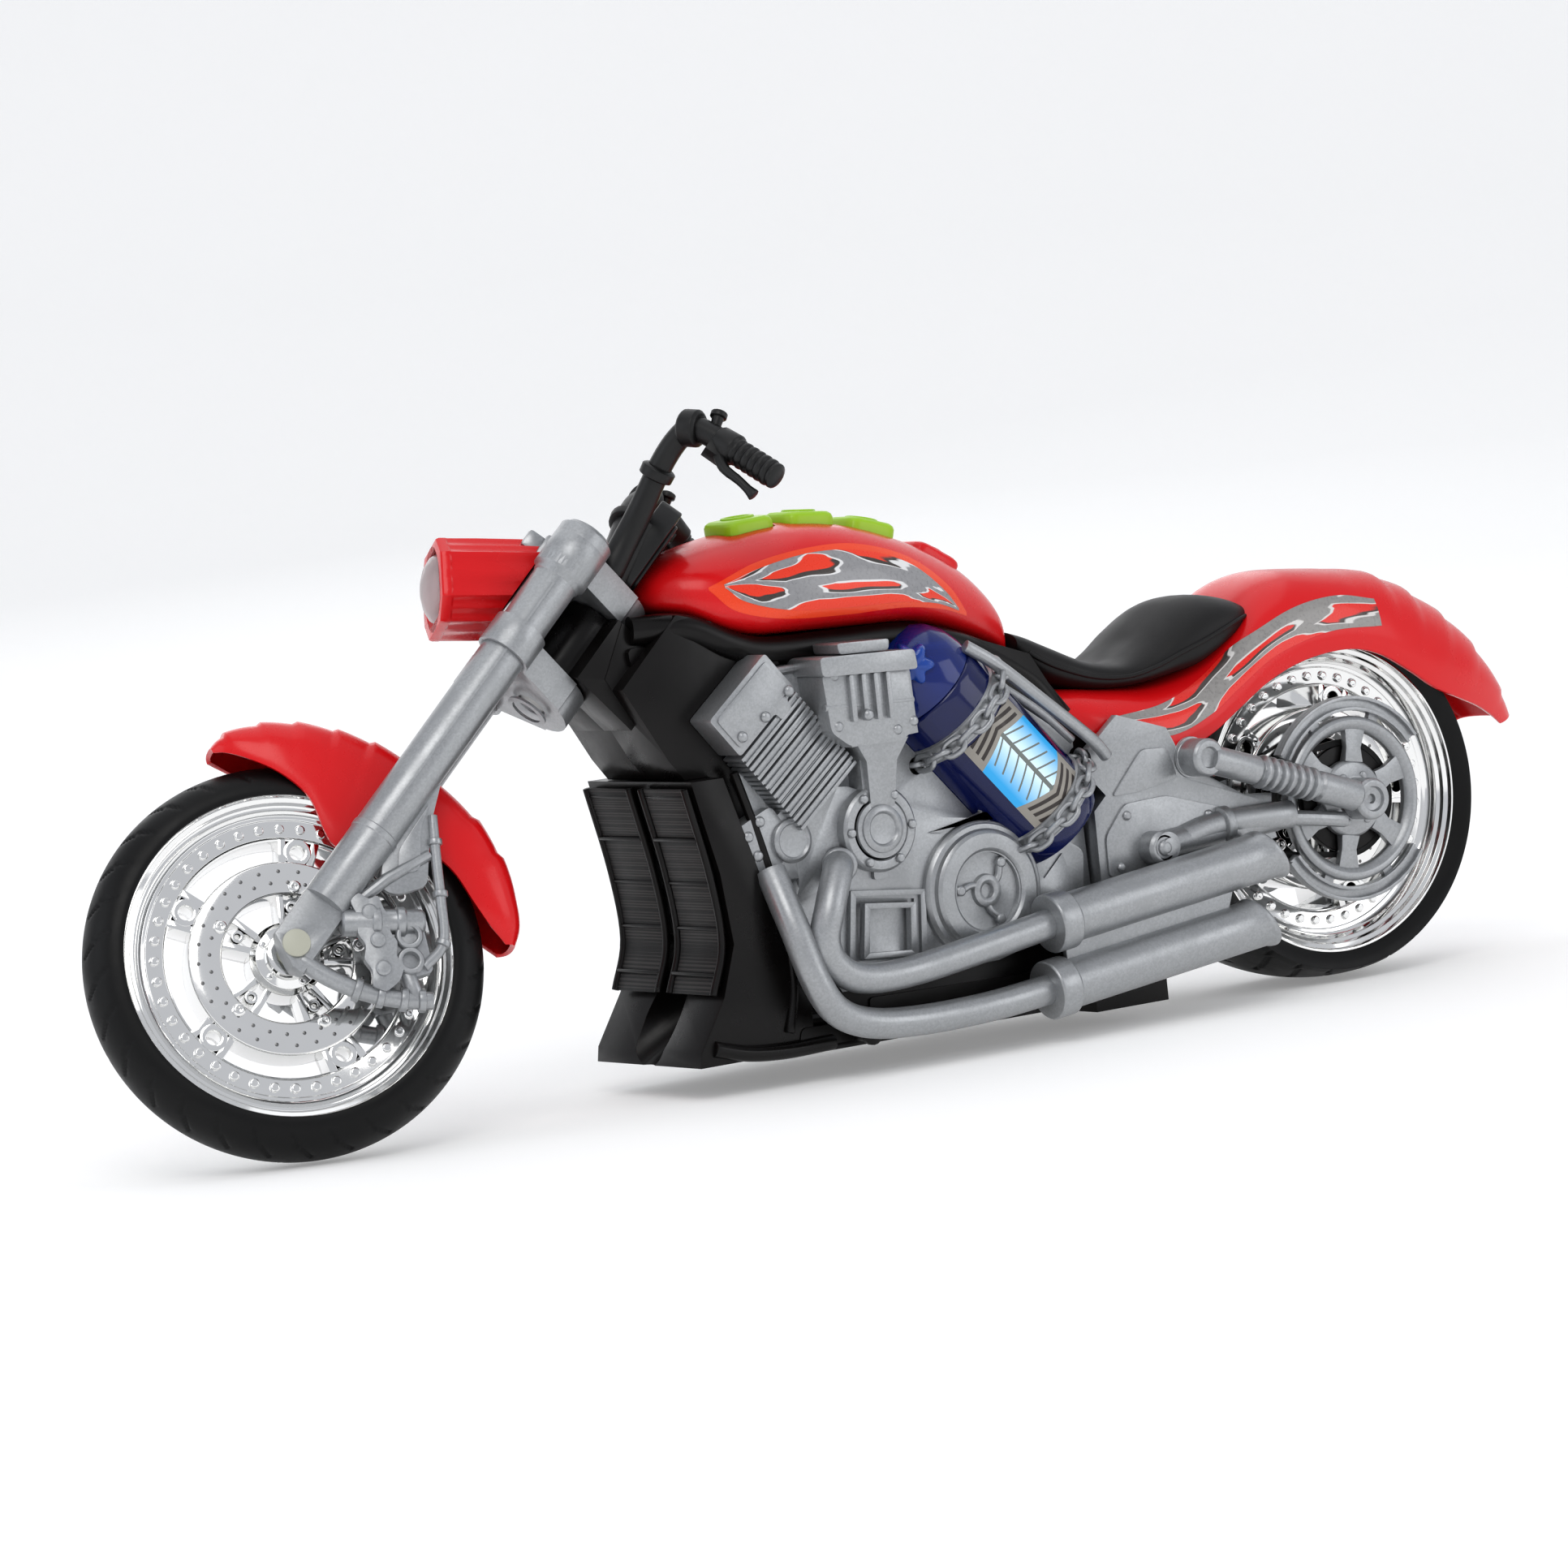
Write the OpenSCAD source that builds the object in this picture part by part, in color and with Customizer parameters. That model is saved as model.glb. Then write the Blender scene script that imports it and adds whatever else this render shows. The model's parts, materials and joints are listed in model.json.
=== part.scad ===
// Battery toy chopper: a motorcycle with a sprung button row on its tank, a
// steering fork, a belt-driven rear wheel and a lit canister on each side.
// The bike faces -X, its left side is -Y, and it stands on Z = 0.

/* [Wheels] */
// Distance between the wheel centres with the fork straight
wheelbase = 242; // [236:1:250]
// Outer diameter of the front tyre
front_tyre_d = 77; // [74:0.5:78]
// Width of the front tyre
front_tyre_w = 15.6; // [14:0.2:16]
// Outer diameter of the rear tyre
rear_tyre_d = 75; // [72:0.5:76]
// Width of the rear tyre
rear_tyre_w = 29; // [26:0.5:29.5]
// Diameter over the rim flanges
rim_d = 64.4; // [62:0.2:65]
// Diameter of both wheel axles
axle_d = 4; // [3:0.5:5]
// Radial play of the turning fits
fit = 0.06; // [0.02:0.01:0.1]

/* [Fork] */
// Angle of the steering axis from the vertical
rake = 46.85; // [44:0.05:50]
// Distance of the front axle ahead of the steering axis
fork_offset = 9.8; // [9:0.1:11]
// Turn of the fork as the bike stands, negative to the rider's right
steer = -26; // [-35:1:35]
// Distance of each fork leg from the middle plane
leg_y = 14.2; // [14:0.1:15]
// Radius of a fork leg
leg_r = 4.6; // [4:0.1:4.7]
// Height of the lower clamp's underside along the steering axis
lower_clamp_z = 71.5; // [69:0.5:72]
// Height of the upper clamp's underside along the steering axis
upper_clamp_z = 93.5; // [93:0.5:95]

/* [Body] */
// Half width of the frame halves beside the engine
frame_hw = 14; // [13:0.5:14]
// Half width of the battery box in the belly
belly_hw = 18; // [17.5:0.5:19]
// Wall of the plastic shells
wall = 1.8; // [1.5:0.1:2.2]
// Distance of the pipes from the middle plane
pipe_y = 27; // [26.8:0.1:28]
// Radius of the silencers
silencer_r = 5; // [4.6:0.1:5.2]
// Radius of the canister
canister_r = 12; // [11:0.5:12.5]

/* [Controls] */
// Travel of the tank buttons
button_travel = 1.4; // [1:0.1:1.6]
// Length and width of a tank button's cap
button_size = [11.4, 12]; // [10:0.1:13]
// Play round a moving button
button_gap = 0.4; // [0.3:0.05:0.6]

/* [Hidden] */
$fn = 64;

soft_fn = 20;                       // facets of the rounded shells
slit = 0.1;                         // gap between pieces that are assembled side by side
axle_r = axle_d / 2;
rim_r = rim_d / 2;
front_r = front_tyre_d / 2;
rear_r = rear_tyre_d / 2;
crown_r = front_tyre_w / 2;         // the front tyre's section is round
rear_hw = rear_tyre_w / 2;
rear_lip_y = rear_hw - 2.2;
front_lip_y = crown_r - 0.9;

// A turned, raked front wheel leans, so its centre sits lower than its radius.
lean = sin(steer) * sin(rake);
front_z = (front_r - crown_r) * sqrt(1 - lean * lean) + crown_r
    - fork_offset * sin(rake) * (cos(steer) - 1);
axis_x = fork_offset * cos(rake);
axis_z = front_z - fork_offset * sin(rake);

// Centre of the whole model's box, which is set on the origin.
centre_x = 129.8;
centre_y = -1.29;

silver = [0.68, 0.69, 0.70];
black = [0.10, 0.09, 0.09];
red = [0.88, 0.11, 0.12];
lime = [0.63, 0.84, 0.16];
navy = [0.05, 0.09, 0.40];
chrome = [0.85, 0.85, 0.84];

// ---------------------------------------------------------------- placing
module body_frame() translate([-centre_x, -centre_y, 0]) children();

// X runs back across the fork, Z runs up along the steering axis.
module fork_frame() body_frame() translate([axis_x, 0, axis_z]) rotate([0, rake, 0])
    rotate([0, 0, steer]) children();

// Level axes at the front wheel's centre, turned with the fork.
module front_wheel_frame() fork_frame() translate([-fork_offset, 0, 0]) rotate([0, -rake, 0])
    children();

module rear_wheel_frame() body_frame() translate([wheelbase, 0, rear_r]) children();

// A side outline in X and Z, given thickness from y0 to y1 on the left side.
module slab(outline, y0, y1) translate([0, -y0, 0]) rotate([90, 0, 0])
    linear_extrude(y1 - y0) polygon(outline);

// The same, across both sides.
module full_slab(outline, hw) slab(outline, -hw, hw);

// A round bar along Y on the left side.
module boss(x, z, r, y0, y1) translate([x, -y0, z]) rotate([90, 0, 0]) cylinder(h = y1 - y0, r = r);

module rod(p, q, r, $fn = 24) {
    d = q - p;
    flat = norm([d[0], d[1]]);
    translate(p) rotate([0, atan2(flat, d[2]), atan2(d[1], d[0])]) cylinder(h = norm(d), r = r);
}

// Rounds a line of points by cutting each corner; both ends stay.
function eased(p) = [
    p[0],
    for (i = [0 : len(p) - 2]) each [0.75 * p[i] + 0.25 * p[i + 1], 0.25 * p[i] + 0.75 * p[i + 1]],
    p[len(p) - 1]
];

function unit(v) = v / norm(v);

// A bent tube along the points, with a ring of the section at each of them.
module bent_tube(points, r, sides = 12) {
    p = eased(eased(points));
    n = len(p);
    along = [for (i = [0 : n - 1]) unit(p[min(i + 1, n - 1)] - p[max(i - 1, 0)])];
    side = [for (t = along) unit(cross([0, 1, 0], t))];
    rings = [for (i = [0 : n - 1]) for (k = [0 : sides - 1])
        p[i] + r * (cos(k * 360 / sides) * side[i] + sin(k * 360 / sides) * cross(along[i], side[i]))];
    walls = [for (i = [0 : n - 2]) for (k = [0 : sides - 1])
        [
            (i + 1) * sides + k, (i + 1) * sides + (k + 1) % sides,
            i * sides + (k + 1) % sides, i * sides + k
        ]];
    start = [for (k = [0 : sides - 1]) k];
    end = [for (k = [sides - 1 : -1 : 0]) (n - 1) * sides + k];
    polyhedron(rings, [start, each walls, end]);
}

// Straight rods with ball joints between them
module jointed_rods(points, r) {
    for (i = [0 : len(points) - 2]) rod(points[i], points[i + 1], r);
    for (i = [1 : len(points) - 2]) translate(points[i]) sphere(r = 1.06 * r, $fn = 24);
}

module mirror_y() mirror([0, 1, 0]) children();

// ---------------------------------------------------------------- wheels
module ring_section(r0, r1, y0, y1) translate([r0, y0]) square([r1 - r0, y1 - y0]);

// Turns a section about the axle; its second coordinate points to the left side.
module about_axle(turn = 360) rotate([90, 0, 0]) rotate_extrude(angle = turn, $fn = 128) children();

module tyre_seat(lip_y) {
    ring_section(0, rim_r - 1.15, -40, 40);
    ring_section(0, rim_r + 0.1, -40, -lip_y + 1.1);
    ring_section(0, rim_r + 0.1, lip_y - 1.1, 40);
}

module front_tyre() color(black) front_wheel_frame() about_axle() difference() {
    translate([front_r - crown_r, 0]) circle(r = crown_r);
    tyre_seat(front_lip_y);
}

module rear_tyre() color(black) rear_wheel_frame() about_axle() difference() {
    shoulder_r = 5;
    crown_bow = 60;
    shoulder_y = rear_hw - shoulder_r;
    shoulder_x = rear_r - crown_bow + sqrt(crown_bow * crown_bow - shoulder_y * shoulder_y) - shoulder_r;
    union() {
        intersection() {
            translate([rear_r - crown_bow, 0]) circle(r = crown_bow, $fn = 256);
            ring_section(20, rear_r + 1, -shoulder_y, shoulder_y);
        }
        for (s = [-1, 1]) translate([shoulder_x, s * shoulder_y]) circle(r = shoulder_r);
    }
    tyre_seat(rear_lip_y);
}

// Barrel with two lips, a hub, and a web with a raised disc, windows and small holes
module rim(lip_y, hub_hw, web_hw, spokes) {
    barrel_r = rim_r - 1.25;
    half = [
        [1, hub_hw], [7, hub_hw], [7, web_hw], [12.5, web_hw], [12.5, web_hw + 1], [19, web_hw + 1],
        [19, web_hw],
        [barrel_r - 2, web_hw], [barrel_r - 2, lip_y], [rim_r, lip_y], [rim_r, lip_y - 1],
        [barrel_r, lip_y - 1]
    ];
    lower = [for (i = [len(half) - 1 : -1 : 0]) [half[i][0], -half[i][1]]];
    difference() {
        about_axle() polygon(concat(half, lower));
        rotate([90, 0, 0]) cylinder(h = 60, r = axle_r + fit, center = true);
        for (i = [0 : spokes - 1]) rotate([0, (i + 0.5) * 360 / spokes, 0]) {
            full_slab([[20.4, -5], [26.4, -8], [26.4, 8], [20.4, 5]], 20);
            full_slab([[8.4, -2.4], [11.4, -4], [11.4, 4], [8.4, 2.4]], 20);
            rotate([0, 180 / spokes, 0]) boss(23.8, 0, 1.8, -20, 20);
        }
    }
}

module front_rim() color(chrome) front_wheel_frame() rim(front_lip_y, crown_r + 0.8, 2.4, 5);

module rear_rim() color(chrome) rear_wheel_frame() rim(rear_lip_y, rear_hw - 0.6, 3, 5);

module front_axle() color(chrome) front_wheel_frame() {
    rotate([90, 0, 0]) cylinder(h = 2 * (leg_y + 1.6), r = axle_r, center = true);
    for (s = [-1, 1]) translate([0, s * (leg_y + 2.0), 0]) rotate([90, 0, 0])
        cylinder(h = 0.8, r = 2.7, center = true);
}

axle_end = 19.4;
pulley_y = 15.9;
module rear_axle() color(chrome) rear_wheel_frame()
    rotate([90, 0, 0]) cylinder(h = 2 * axle_end, r = axle_r, center = true);

rear_pulley_r = 11;
motor_pulley_r = 4.4;
pulley_hw = 0.9;
belt_t = 1.2;
motor_x = 187;
motor_z = 38;

module rear_pulley() color(black) rear_wheel_frame() translate([0, -pulley_y, 0]) rotate([90, 0, 0])
    difference() {
        cylinder(h = 2 * pulley_hw, r = rear_pulley_r, center = true);
        cylinder(h = 10, r = axle_r + 0.02, center = true);
    }

motor_shaft_r = 1;
module motor_pulley() color(chrome) body_frame() {
    boss(motor_x, motor_z, motor_pulley_r, pulley_y - pulley_hw, pulley_y + pulley_hw);
    boss(motor_x, motor_z, motor_shaft_r, 10.4, pulley_y);
}

module belt_outline(grow) hull() {
    circle(r = rear_pulley_r + grow);
    translate([motor_x - wheelbase, motor_z - rear_r]) circle(r = motor_pulley_r + grow);
}

belt_play = 0.05;
module drive_belt() color(black) rear_wheel_frame() translate([0, -pulley_y + 0.8, 0])
    rotate([90, 0, 0]) linear_extrude(1.6) difference() {
        belt_outline(belt_play + belt_t);
        belt_outline(belt_play);
    }

// ---------------------------------------------------------------- fork
socket_r = leg_r + 1.1;
screw_r = 2;
clamp_h = 6.5;
fork_top = 102;
leg_top = 98;

module fork_leg() difference() {
    translate([-fork_offset, -leg_y, -4]) cylinder(h = leg_top + 4, r = leg_r);
    translate([-fork_offset, 0, 0]) rotate([90, 0, 0]) cylinder(h = 60, r = axle_r + 0.02, center = true);
    // Flat for the axle pin's head
    translate([-fork_offset - 10, -leg_y - 12.2, -14]) cube([20, 10.6, 24]);
    // Slanted foot
    translate([-fork_offset, -leg_y, -7.5]) rotate([0, 28, 0]) cube([30, 30, 8], center = true);
}

module fork_leg_left() color(silver) fork_frame() fork_leg();
module fork_leg_right() color(silver) fork_frame() mirror_y() fork_leg();

// A plate that ties the legs to the lobe round the steering screw.
module clamp_plate(z, h) translate([0, 0, z]) linear_extrude(h) {
    polygon([
        [-fork_offset - 2, -leg_y], [-fork_offset - 2, leg_y], [-fork_offset + 3, leg_y],
        [5, 7], [5, -7], [-fork_offset + 3, -leg_y]
    ]);
    circle(r = 8);
}

module leg_bores(r, z0, z1) for (s = [-1, 1])
    translate([-fork_offset, s * leg_y, z0]) cylinder(h = z1 - z0, r = r);

module upper_clamp() color(silver) fork_frame() difference() {
    union() {
        clamp_plate(upper_clamp_z, clamp_h);
        leg_bores(socket_r, upper_clamp_z - 2, fork_top - 1);
        leg_bores(socket_r - 1, fork_top - 2, fork_top);
    }
    leg_bores(leg_r + 0.02, 0, leg_top + slit);
    translate([0, 0, upper_clamp_z - 2]) cylinder(h = 6, r = screw_r + 0.02);
}

module lower_clamp() color(silver) fork_frame() difference() {
    union() {
        clamp_plate(lower_clamp_z, clamp_h);
        leg_bores(leg_r + 0.9, lower_clamp_z, lower_clamp_z + clamp_h);
        // Flat web between the legs, up to the upper clamp
        translate([-fork_offset + 1.8, -9, lower_clamp_z + clamp_h - 1])
            cube([1.8, 18, upper_clamp_z - 2.2 - lower_clamp_z - clamp_h]);
    }
    leg_bores(leg_r + 0.02, 0, 200);
    translate([0, 0, lower_clamp_z - 1]) cylinder(h = 20, r = screw_r + 0.02);
    translate([0, 0, lower_clamp_z - 1]) cylinder(h = 3.6, r = 3.1);
}

module steering_screw() color(chrome) fork_frame() {
    translate([0, 0, lower_clamp_z + 0.6]) cylinder(h = 2, r = 2.9);
    translate([0, 0, lower_clamp_z + 2.6])
        cylinder(h = upper_clamp_z + 4 - lower_clamp_z - 2.7, r = screw_r);
}

module riser_plate() color(black) fork_frame() translate([0.6, 0, bar_base + slit])
    rotate([90, 0, 90]) linear_extrude(3.2)
        polygon([[-7, 0], [7, 0], [10, 13], [6, 20], [-6, 20], [-10, 13]]);

bar_r = 2.5;
bar_base = upper_clamp_z + clamp_h;

// One side of the bar: stem, elbow, grip and lever
module bar_side(s) {
    bent_tube([
        [-2.5, s * 7.5, bar_base - 3], [-4.2, s * 11, bar_base + 12], [-6, s * 16, bar_base + 21.5],
        [-5.5, s * 23, bar_base + 28.5], [0.5, s * 26, bar_base + 28.5]
    ], bar_r);
    translate([-5.5, s * 23, bar_base + 28.5]) sphere(r = bar_r + 0.8, $fn = 32);
    rod([0.2, s * 25.8, bar_base + 28.5], [11, s * 32, bar_base + 27], bar_r + 0.3);
    rod([0.5, s * 27.5, bar_base + 27], [8.5, s * 30, bar_base + 22.5], 1.1);
}

module handlebar(s) difference() {
    bar_side(s);
    translate([-20, -20, bar_base - 10]) cube([40, 40, 10 + slit]);
}

module handlebar_left() color(black) fork_frame() handlebar(-1);
module handlebar_right() color(black) fork_frame() handlebar(1);

// A channel over a wheel: radius of its side walls' top, half width, wall and lower edge
module fender_section(r0, hw, t, skirt) difference() {
    union() {
        ring_section(skirt, r0, -hw, hw);
        intersection() {
            translate([r0 - 22, 0]) circle(r = 24.5, $fn = 96);
            ring_section(r0 - 0.01, r0 + 6, -hw, hw);
        }
    }
    ring_section(0, r0 - t + 1.2, -hw + t, hw - t);
}

module front_fender() color(red) front_wheel_frame() difference() {
    union() {
        rotate([0, 6, 0]) about_axle(99) fender_section(43.5, 9.3, 1, 36);
        // Skirts beside the tyre, down to the legs
        for (s = [-1, 1]) translate([0, s * 8.8, 0]) rotate([90, 0, 0]) linear_extrude(1, center = true)
            polygon([[-2, 43.4], [-1, 38], [6, 33], [12, 20], [20, 20], [30, 31]]);
    }
    rotate([90, 0, 0]) cylinder(h = 2 * 8.3, r = front_r + 1.2, center = true);
}

// Lamp body on the fork's front, with its axis nearly level.
lamp_tilt = 9.8;
lamp_hw = 10.6;
lamp_hh = 8.4;
lamp_length = 24;
lamp_at = [45, 68];                 // centre of its front face from the wheel's centre
module lamp_frame() front_wheel_frame() translate([lamp_at[0], 0, lamp_at[1]])
    rotate([0, 90 + lamp_tilt, 0]) children();

module lamp_outline() {
    w = lamp_hw;
    h = lamp_hh;
    c = 3.6;
    polygon([
        [-h, -w + c], [-h, w - c], [-h + c, w], [h - c, w], [h, w - c], [h, -w + c],
        [h - c, -w], [-h + c, -w]
    ]);
}

// Everything at or behind the fork legs, where no lamp may be
module behind_legs() fork_frame() translate([-fork_offset - 5.2, -40, 40]) cube([60, 80, 80]);

module headlight_shell() color(red) difference() {
    lamp_frame() linear_extrude(lamp_length) lamp_outline();
    lamp_frame() translate([0, 0, -1]) cylinder(h = 15, r = 7.2);
    behind_legs();
}

module headlight_lens() color([0.95, 0.9, 0.88]) lamp_frame() intersection() {
    translate([0, 0, 14]) sphere(r = 15.4);
    translate([0, 0, -1.5]) cylinder(h = 4, r = 7);
}

module headlight_led() color("white") lamp_frame() {
    translate([0, 0, 9.9]) cylinder(h = 4.1, r = 2.9);
    translate([0, 0, 7.4]) cylinder(h = 2.6, r = 2.4);
    translate([0, 0, 7.4]) sphere(r = 2.4);
}

// Gusset, brake line, strut and caliper behind a fork leg, as one moulding
module caliper() {
    y = leg_y;
    difference() {
        union() {
            slab([[33, 24], [21, 15], [19, 9], [29, 9], [30, 18]], y - 1, y + 0.6);
            jointed_rods([[30, -y, 18], [29, -y, 4], [27.5, -y, -5], [22, -y, -9]], 1.4);
            rod([29, -y, 12], [12, -y, 5], 1.3);
            rod([9, -y, 3], [25.5, -y, 0.4], 2.9);
            slab([[13, 5], [18, 5], [20, -10], [15, -12], [12, -10]], y - 1.6, y + 2.6);
            boss(20, -3.1, 2.6, y - 1.6, y + 2.6);
            boss(19.2, -8, 2.6, y - 1.6, y + 2.6);
            jointed_rods([[2, -y, -3.2], [8, -y, -10], [22, -y, -15]], 1.9);
            rod([19.6, -y, -8], [20.8, -y, -15], 1.8);
        }
        boss(20, -3.1, 1.4, y, y + 5);
        boss(19.2, -8, 1.4, y, y + 5);
    }
}

// The leg, as level axes at the wheel's centre see it, grown by a gap
module leg_clearance() rotate([0, rake, 0]) translate([0, 0, -6]) {
    translate([0, -leg_y, 0]) cylinder(h = 110, r = leg_r + slit);
}

module caliper_left() color(silver) front_wheel_frame() difference() {
    caliper();
    leg_clearance();
    rotate([90, 0, 0]) cylinder(h = 60, r = axle_r + 1, center = true);
}

module caliper_right() color(silver) front_wheel_frame() mirror_y() difference() {
    caliper();
    leg_clearance();
    rotate([90, 0, 0]) cylinder(h = 60, r = axle_r + 1, center = true);
}

// ---------------------------------------------------------------- frame
belly_bottom = 5;                   // underside of the battery box
heel_bottom = 3;                    // underside of the block behind it
belly_top = 19.6;
belly_front = 104;
belly_back = 191;

// Side outline of the frame under the tank and seat, round the engine
frame_outline = [
    [70, 83], [76, 95], [86, 93.6], [93, 91.6], [98, 87.9], [104, 86.6], [138, 85.8], [151, 82.6],
    [168, 76.4], [172, 70], [178, 62.5], [188, 51], [199, 46], [200, 40], [198, 32], [190, 25],
    [190, belly_top - 1], [belly_front, belly_top - 1], [92, 50], [80, 66]
];

engine_bay = [
    [98, 82], [136, 81], [150, 77], [164, 68], [184, 47], [184, 24], [109, 24], [97, 52], [90, 68]
];

door_x0 = 113;
door_x1 = 171;
door_hw = 15.5;
door_t = 1.8;
cell_r = 5.25;
cell_l = 44.5;
cell_pitch = 10.8;
cell_x0 = 121;
cell_z = belly_bottom + door_t + 0.4 + cell_r;
bay_hw = cell_pitch + cell_r + 0.25;
bay_x0 = cell_x0 - 3.2;
bay_x1 = cell_x0 + cell_l + 3.2;

module box(x0, x1, y0, y1, z0, z1) translate([x0, y0, z0]) cube([x1 - x0, y1 - y0, z1 - z0]);

switch_x = 178;
module frame_half() difference() {
    union() {
        slab(frame_outline, 0, frame_hw);
        box(belly_front, belly_back, -belly_hw, 0, belly_bottom, belly_top);
        box(belly_back - 18, belly_back, -belly_hw, 0, heel_bottom, belly_top);
        // Neck that reaches round the steering axis
        intersection() {
            head_tube_in_body();
            box(0, 200, -50, 0, 0, 200);
        }
    }
    slab(engine_bay, -1, frame_hw - wall);
    box(bay_x0, bay_x1, -bay_hw, 1, belly_bottom - 1, belly_top - wall);
    // Seat of the battery door
    box(door_x0 - slit, door_x1 + slit, -door_hw - slit, 1, belly_bottom - 1, belly_bottom + door_t + slit);
    fork_bore_in_body();
    fork_sweep_in_body();
    motor_pocket();
    // Slot of the power switch
    box(switch_x - 1.9, switch_x + 8.9, -3.6, 3.6, heel_bottom - 1, heel_bottom + 6);
    // Clearance round the rear tyre
    translate([wheelbase, 0, rear_r]) rotate([90, 0, 0]) cylinder(h = 60, r = rear_r + 1.5, center = true);
    radiator_body(slit);
}

// Fork axes seen from the body, with the fork straight
module straight_fork_axes() translate([axis_x, 0, axis_z]) rotate([0, rake, 0]) children();

module head_tube_in_body() straight_fork_axes() {
    z0 = lower_clamp_z + clamp_h + 0.4;
    h = upper_clamp_z - 0.8 - lower_clamp_z - clamp_h;
    translate([0, 0, z0]) cylinder(h = h, r = 5.6);
    translate([0, -10, z0]) cube([16, 20, h]);
}

module fork_bore_in_body() straight_fork_axes() cylinder(h = 120, r = screw_r + fit);

// Room for both clamps as they turn
module fork_sweep_in_body() straight_fork_axes() {
    translate([0, 0, lower_clamp_z - 3]) cylinder(h = clamp_h + 3.4, r = 14);
    translate([0, 0, upper_clamp_z - 0.4]) cylinder(h = 40, r = 12.6);
    // The legs pass on both sides
    for (s = [-1, 1]) translate([-20, s * 20.2 - 10, 40]) cube([27.5, 20, 90]);
}

// Case screws go in from the right and bite into posts in the left half.
screw_places = [[101, 75], [158, 67], [186, 25], [103, 30], [110, 12]];
screw_head_y = 12.8;

module screw_posts() for (p = screw_places) boss(p[0], p[1], 3, 0, frame_hw - 0.4);

module screw_holes() for (p = screw_places) {
    boss(p[0], p[1], 1.02, -screw_head_y - 0.1, 11.1);
    boss(p[0], p[1], 2.1, -30, -screw_head_y);
}

module motor_pocket() {
    box(motor_x - 10.4, motor_x + 10.4, -10.4, 10.4, motor_z - 7.9, motor_z + 7.9);
    boss(motor_x, motor_z, motor_shaft_r + 0.5, 0, 20);
}

module frame_left() color(black) body_frame() difference() {
    union() {
        frame_half();
        screw_posts();
    }
    screw_holes();
}

module frame_right() color(black) body_frame() difference() {
    mirror_y() union() {
        frame_half();
        screw_posts();
    }
    screw_holes();
}

module case_screws() color(chrome) body_frame() for (p = screw_places) {
    boss(p[0], p[1], 1, -screw_head_y, 11);
    boss(p[0], p[1], 2, -screw_head_y - 1, -screw_head_y);
}

scoop_hw = 19;
// Radiator with its flared lip, seen from the side
module radiator_body(grow) {
    full_slab([
        [81.5 - grow, 61.5 + grow], [89 + grow, 61.5 + grow], [104 + grow, 14], [104 + grow, 6 - grow],
        [77 - grow, 6 - grow], [77.5 - grow, 9], [84 - grow, 19], [87.5 - grow, 29], [86 - grow, 43]
    ], scoop_hw + grow);
}

module radiator_scoop() color(black) body_frame() difference() {
    radiator_body(0);
    // Mesh pockets on each side of the middle bar
    for (s = [-1, 1]) for (i = [0 : 3])
        translate([70, s * 9.5 - 7, 22 + i * 9.4]) rotate([0, 4, 0]) cube([19.4, 14, 7.6]);
    // Scoop of the flared lip
    translate([80, 0, 14]) rotate([0, 62, 0]) cylinder(h = 24, r = 6, center = true);
    // Hollow from behind
    full_slab([[91, 50], [105, 13], [105, 8], [94, 8], [93, 30]], scoop_hw - wall);
}

module battery_door() color(black) body_frame() difference() {
    box(door_x0, door_x1, -door_hw, door_hw, belly_bottom, belly_bottom + door_t);
    translate([door_x0 + 2.5, 0, 0]) cylinder(h = 20, r = 1.3);
    translate([door_x0 + 2.5, 0, belly_bottom - 1]) cylinder(h = 1.9, r = 2.2);
}

module door_screw() color(chrome) body_frame() translate([door_x0 + 2.5, 0, 0]) {
    translate([0, 0, belly_bottom + 0.1]) cylinder(h = 0.8, r = 2);
    translate([0, 0, belly_bottom + 0.8]) cylinder(h = door_t + 0.1 - 0.8, r = 1.2);
}

module batteries() color("gold") body_frame() for (i = [-1 : 1])
    translate([cell_x0, i * cell_pitch, cell_z]) rotate([0, 90, 0]) {
        cylinder(h = cell_l - 1, r = cell_r);
        translate([0, 0, cell_l - 1]) cylinder(h = 1, r = 1.9);
    }

module battery_contacts() color("silver") body_frame() for (i = [-1 : 1]) {
    translate([bay_x0 + 0.05, i * cell_pitch - 4, cell_z - 4]) cube([0.4, 8, 8]);
    translate([bay_x0 + 0.45, i * cell_pitch, cell_z]) rotate([0, 90, 0])
        cylinder(h = 2.65, r1 = 3.6, r2 = 2);
    translate([bay_x1 - 0.45, i * cell_pitch - 4, cell_z - 4]) cube([0.4, 8, 8]);
    translate([cell_x0 + cell_l + 0.1, i * cell_pitch - 2, cell_z - 2]) cube([2.65, 4, 4]);
}

module power_switch() color(black) body_frame() {
    box(switch_x - 1.4, switch_x + 4.4, -3.1, 3.1, heel_bottom + 0.8, heel_bottom + 5.4);
    box(switch_x + 0.4, switch_x + 2.6, -1.8, 1.8, heel_bottom - 0.8, heel_bottom + 0.9);
}

// ---------------------------------------------------------------- engine
canister_top = [139.5, 75];
canister_dir = 48.5;                // fall of the canister's axis from the level
canister_l = 44;

// X runs along the canister's axis, from its dome down to its foot
module canister_frame() translate([canister_top[0], -frame_hw, canister_top[1]])
    rotate([0, canister_dir, 0]) children();

module outside_frame() box(60, 260, -80, -frame_hw - slit, -20, 120);

module canister_solid(grow) {
    canister_frame() rotate([0, 90, 0]) translate([0, 0, 4])
        cylinder(h = canister_l, r = canister_r + grow);
    canister_frame() translate([4, 0, 0]) sphere(r = canister_r + grow);
    canister_frame() rotate([0, 90, 0]) translate([0, 0, -10 - grow]) cylinder(h = 8, r = 4.6 + grow);
}

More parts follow.
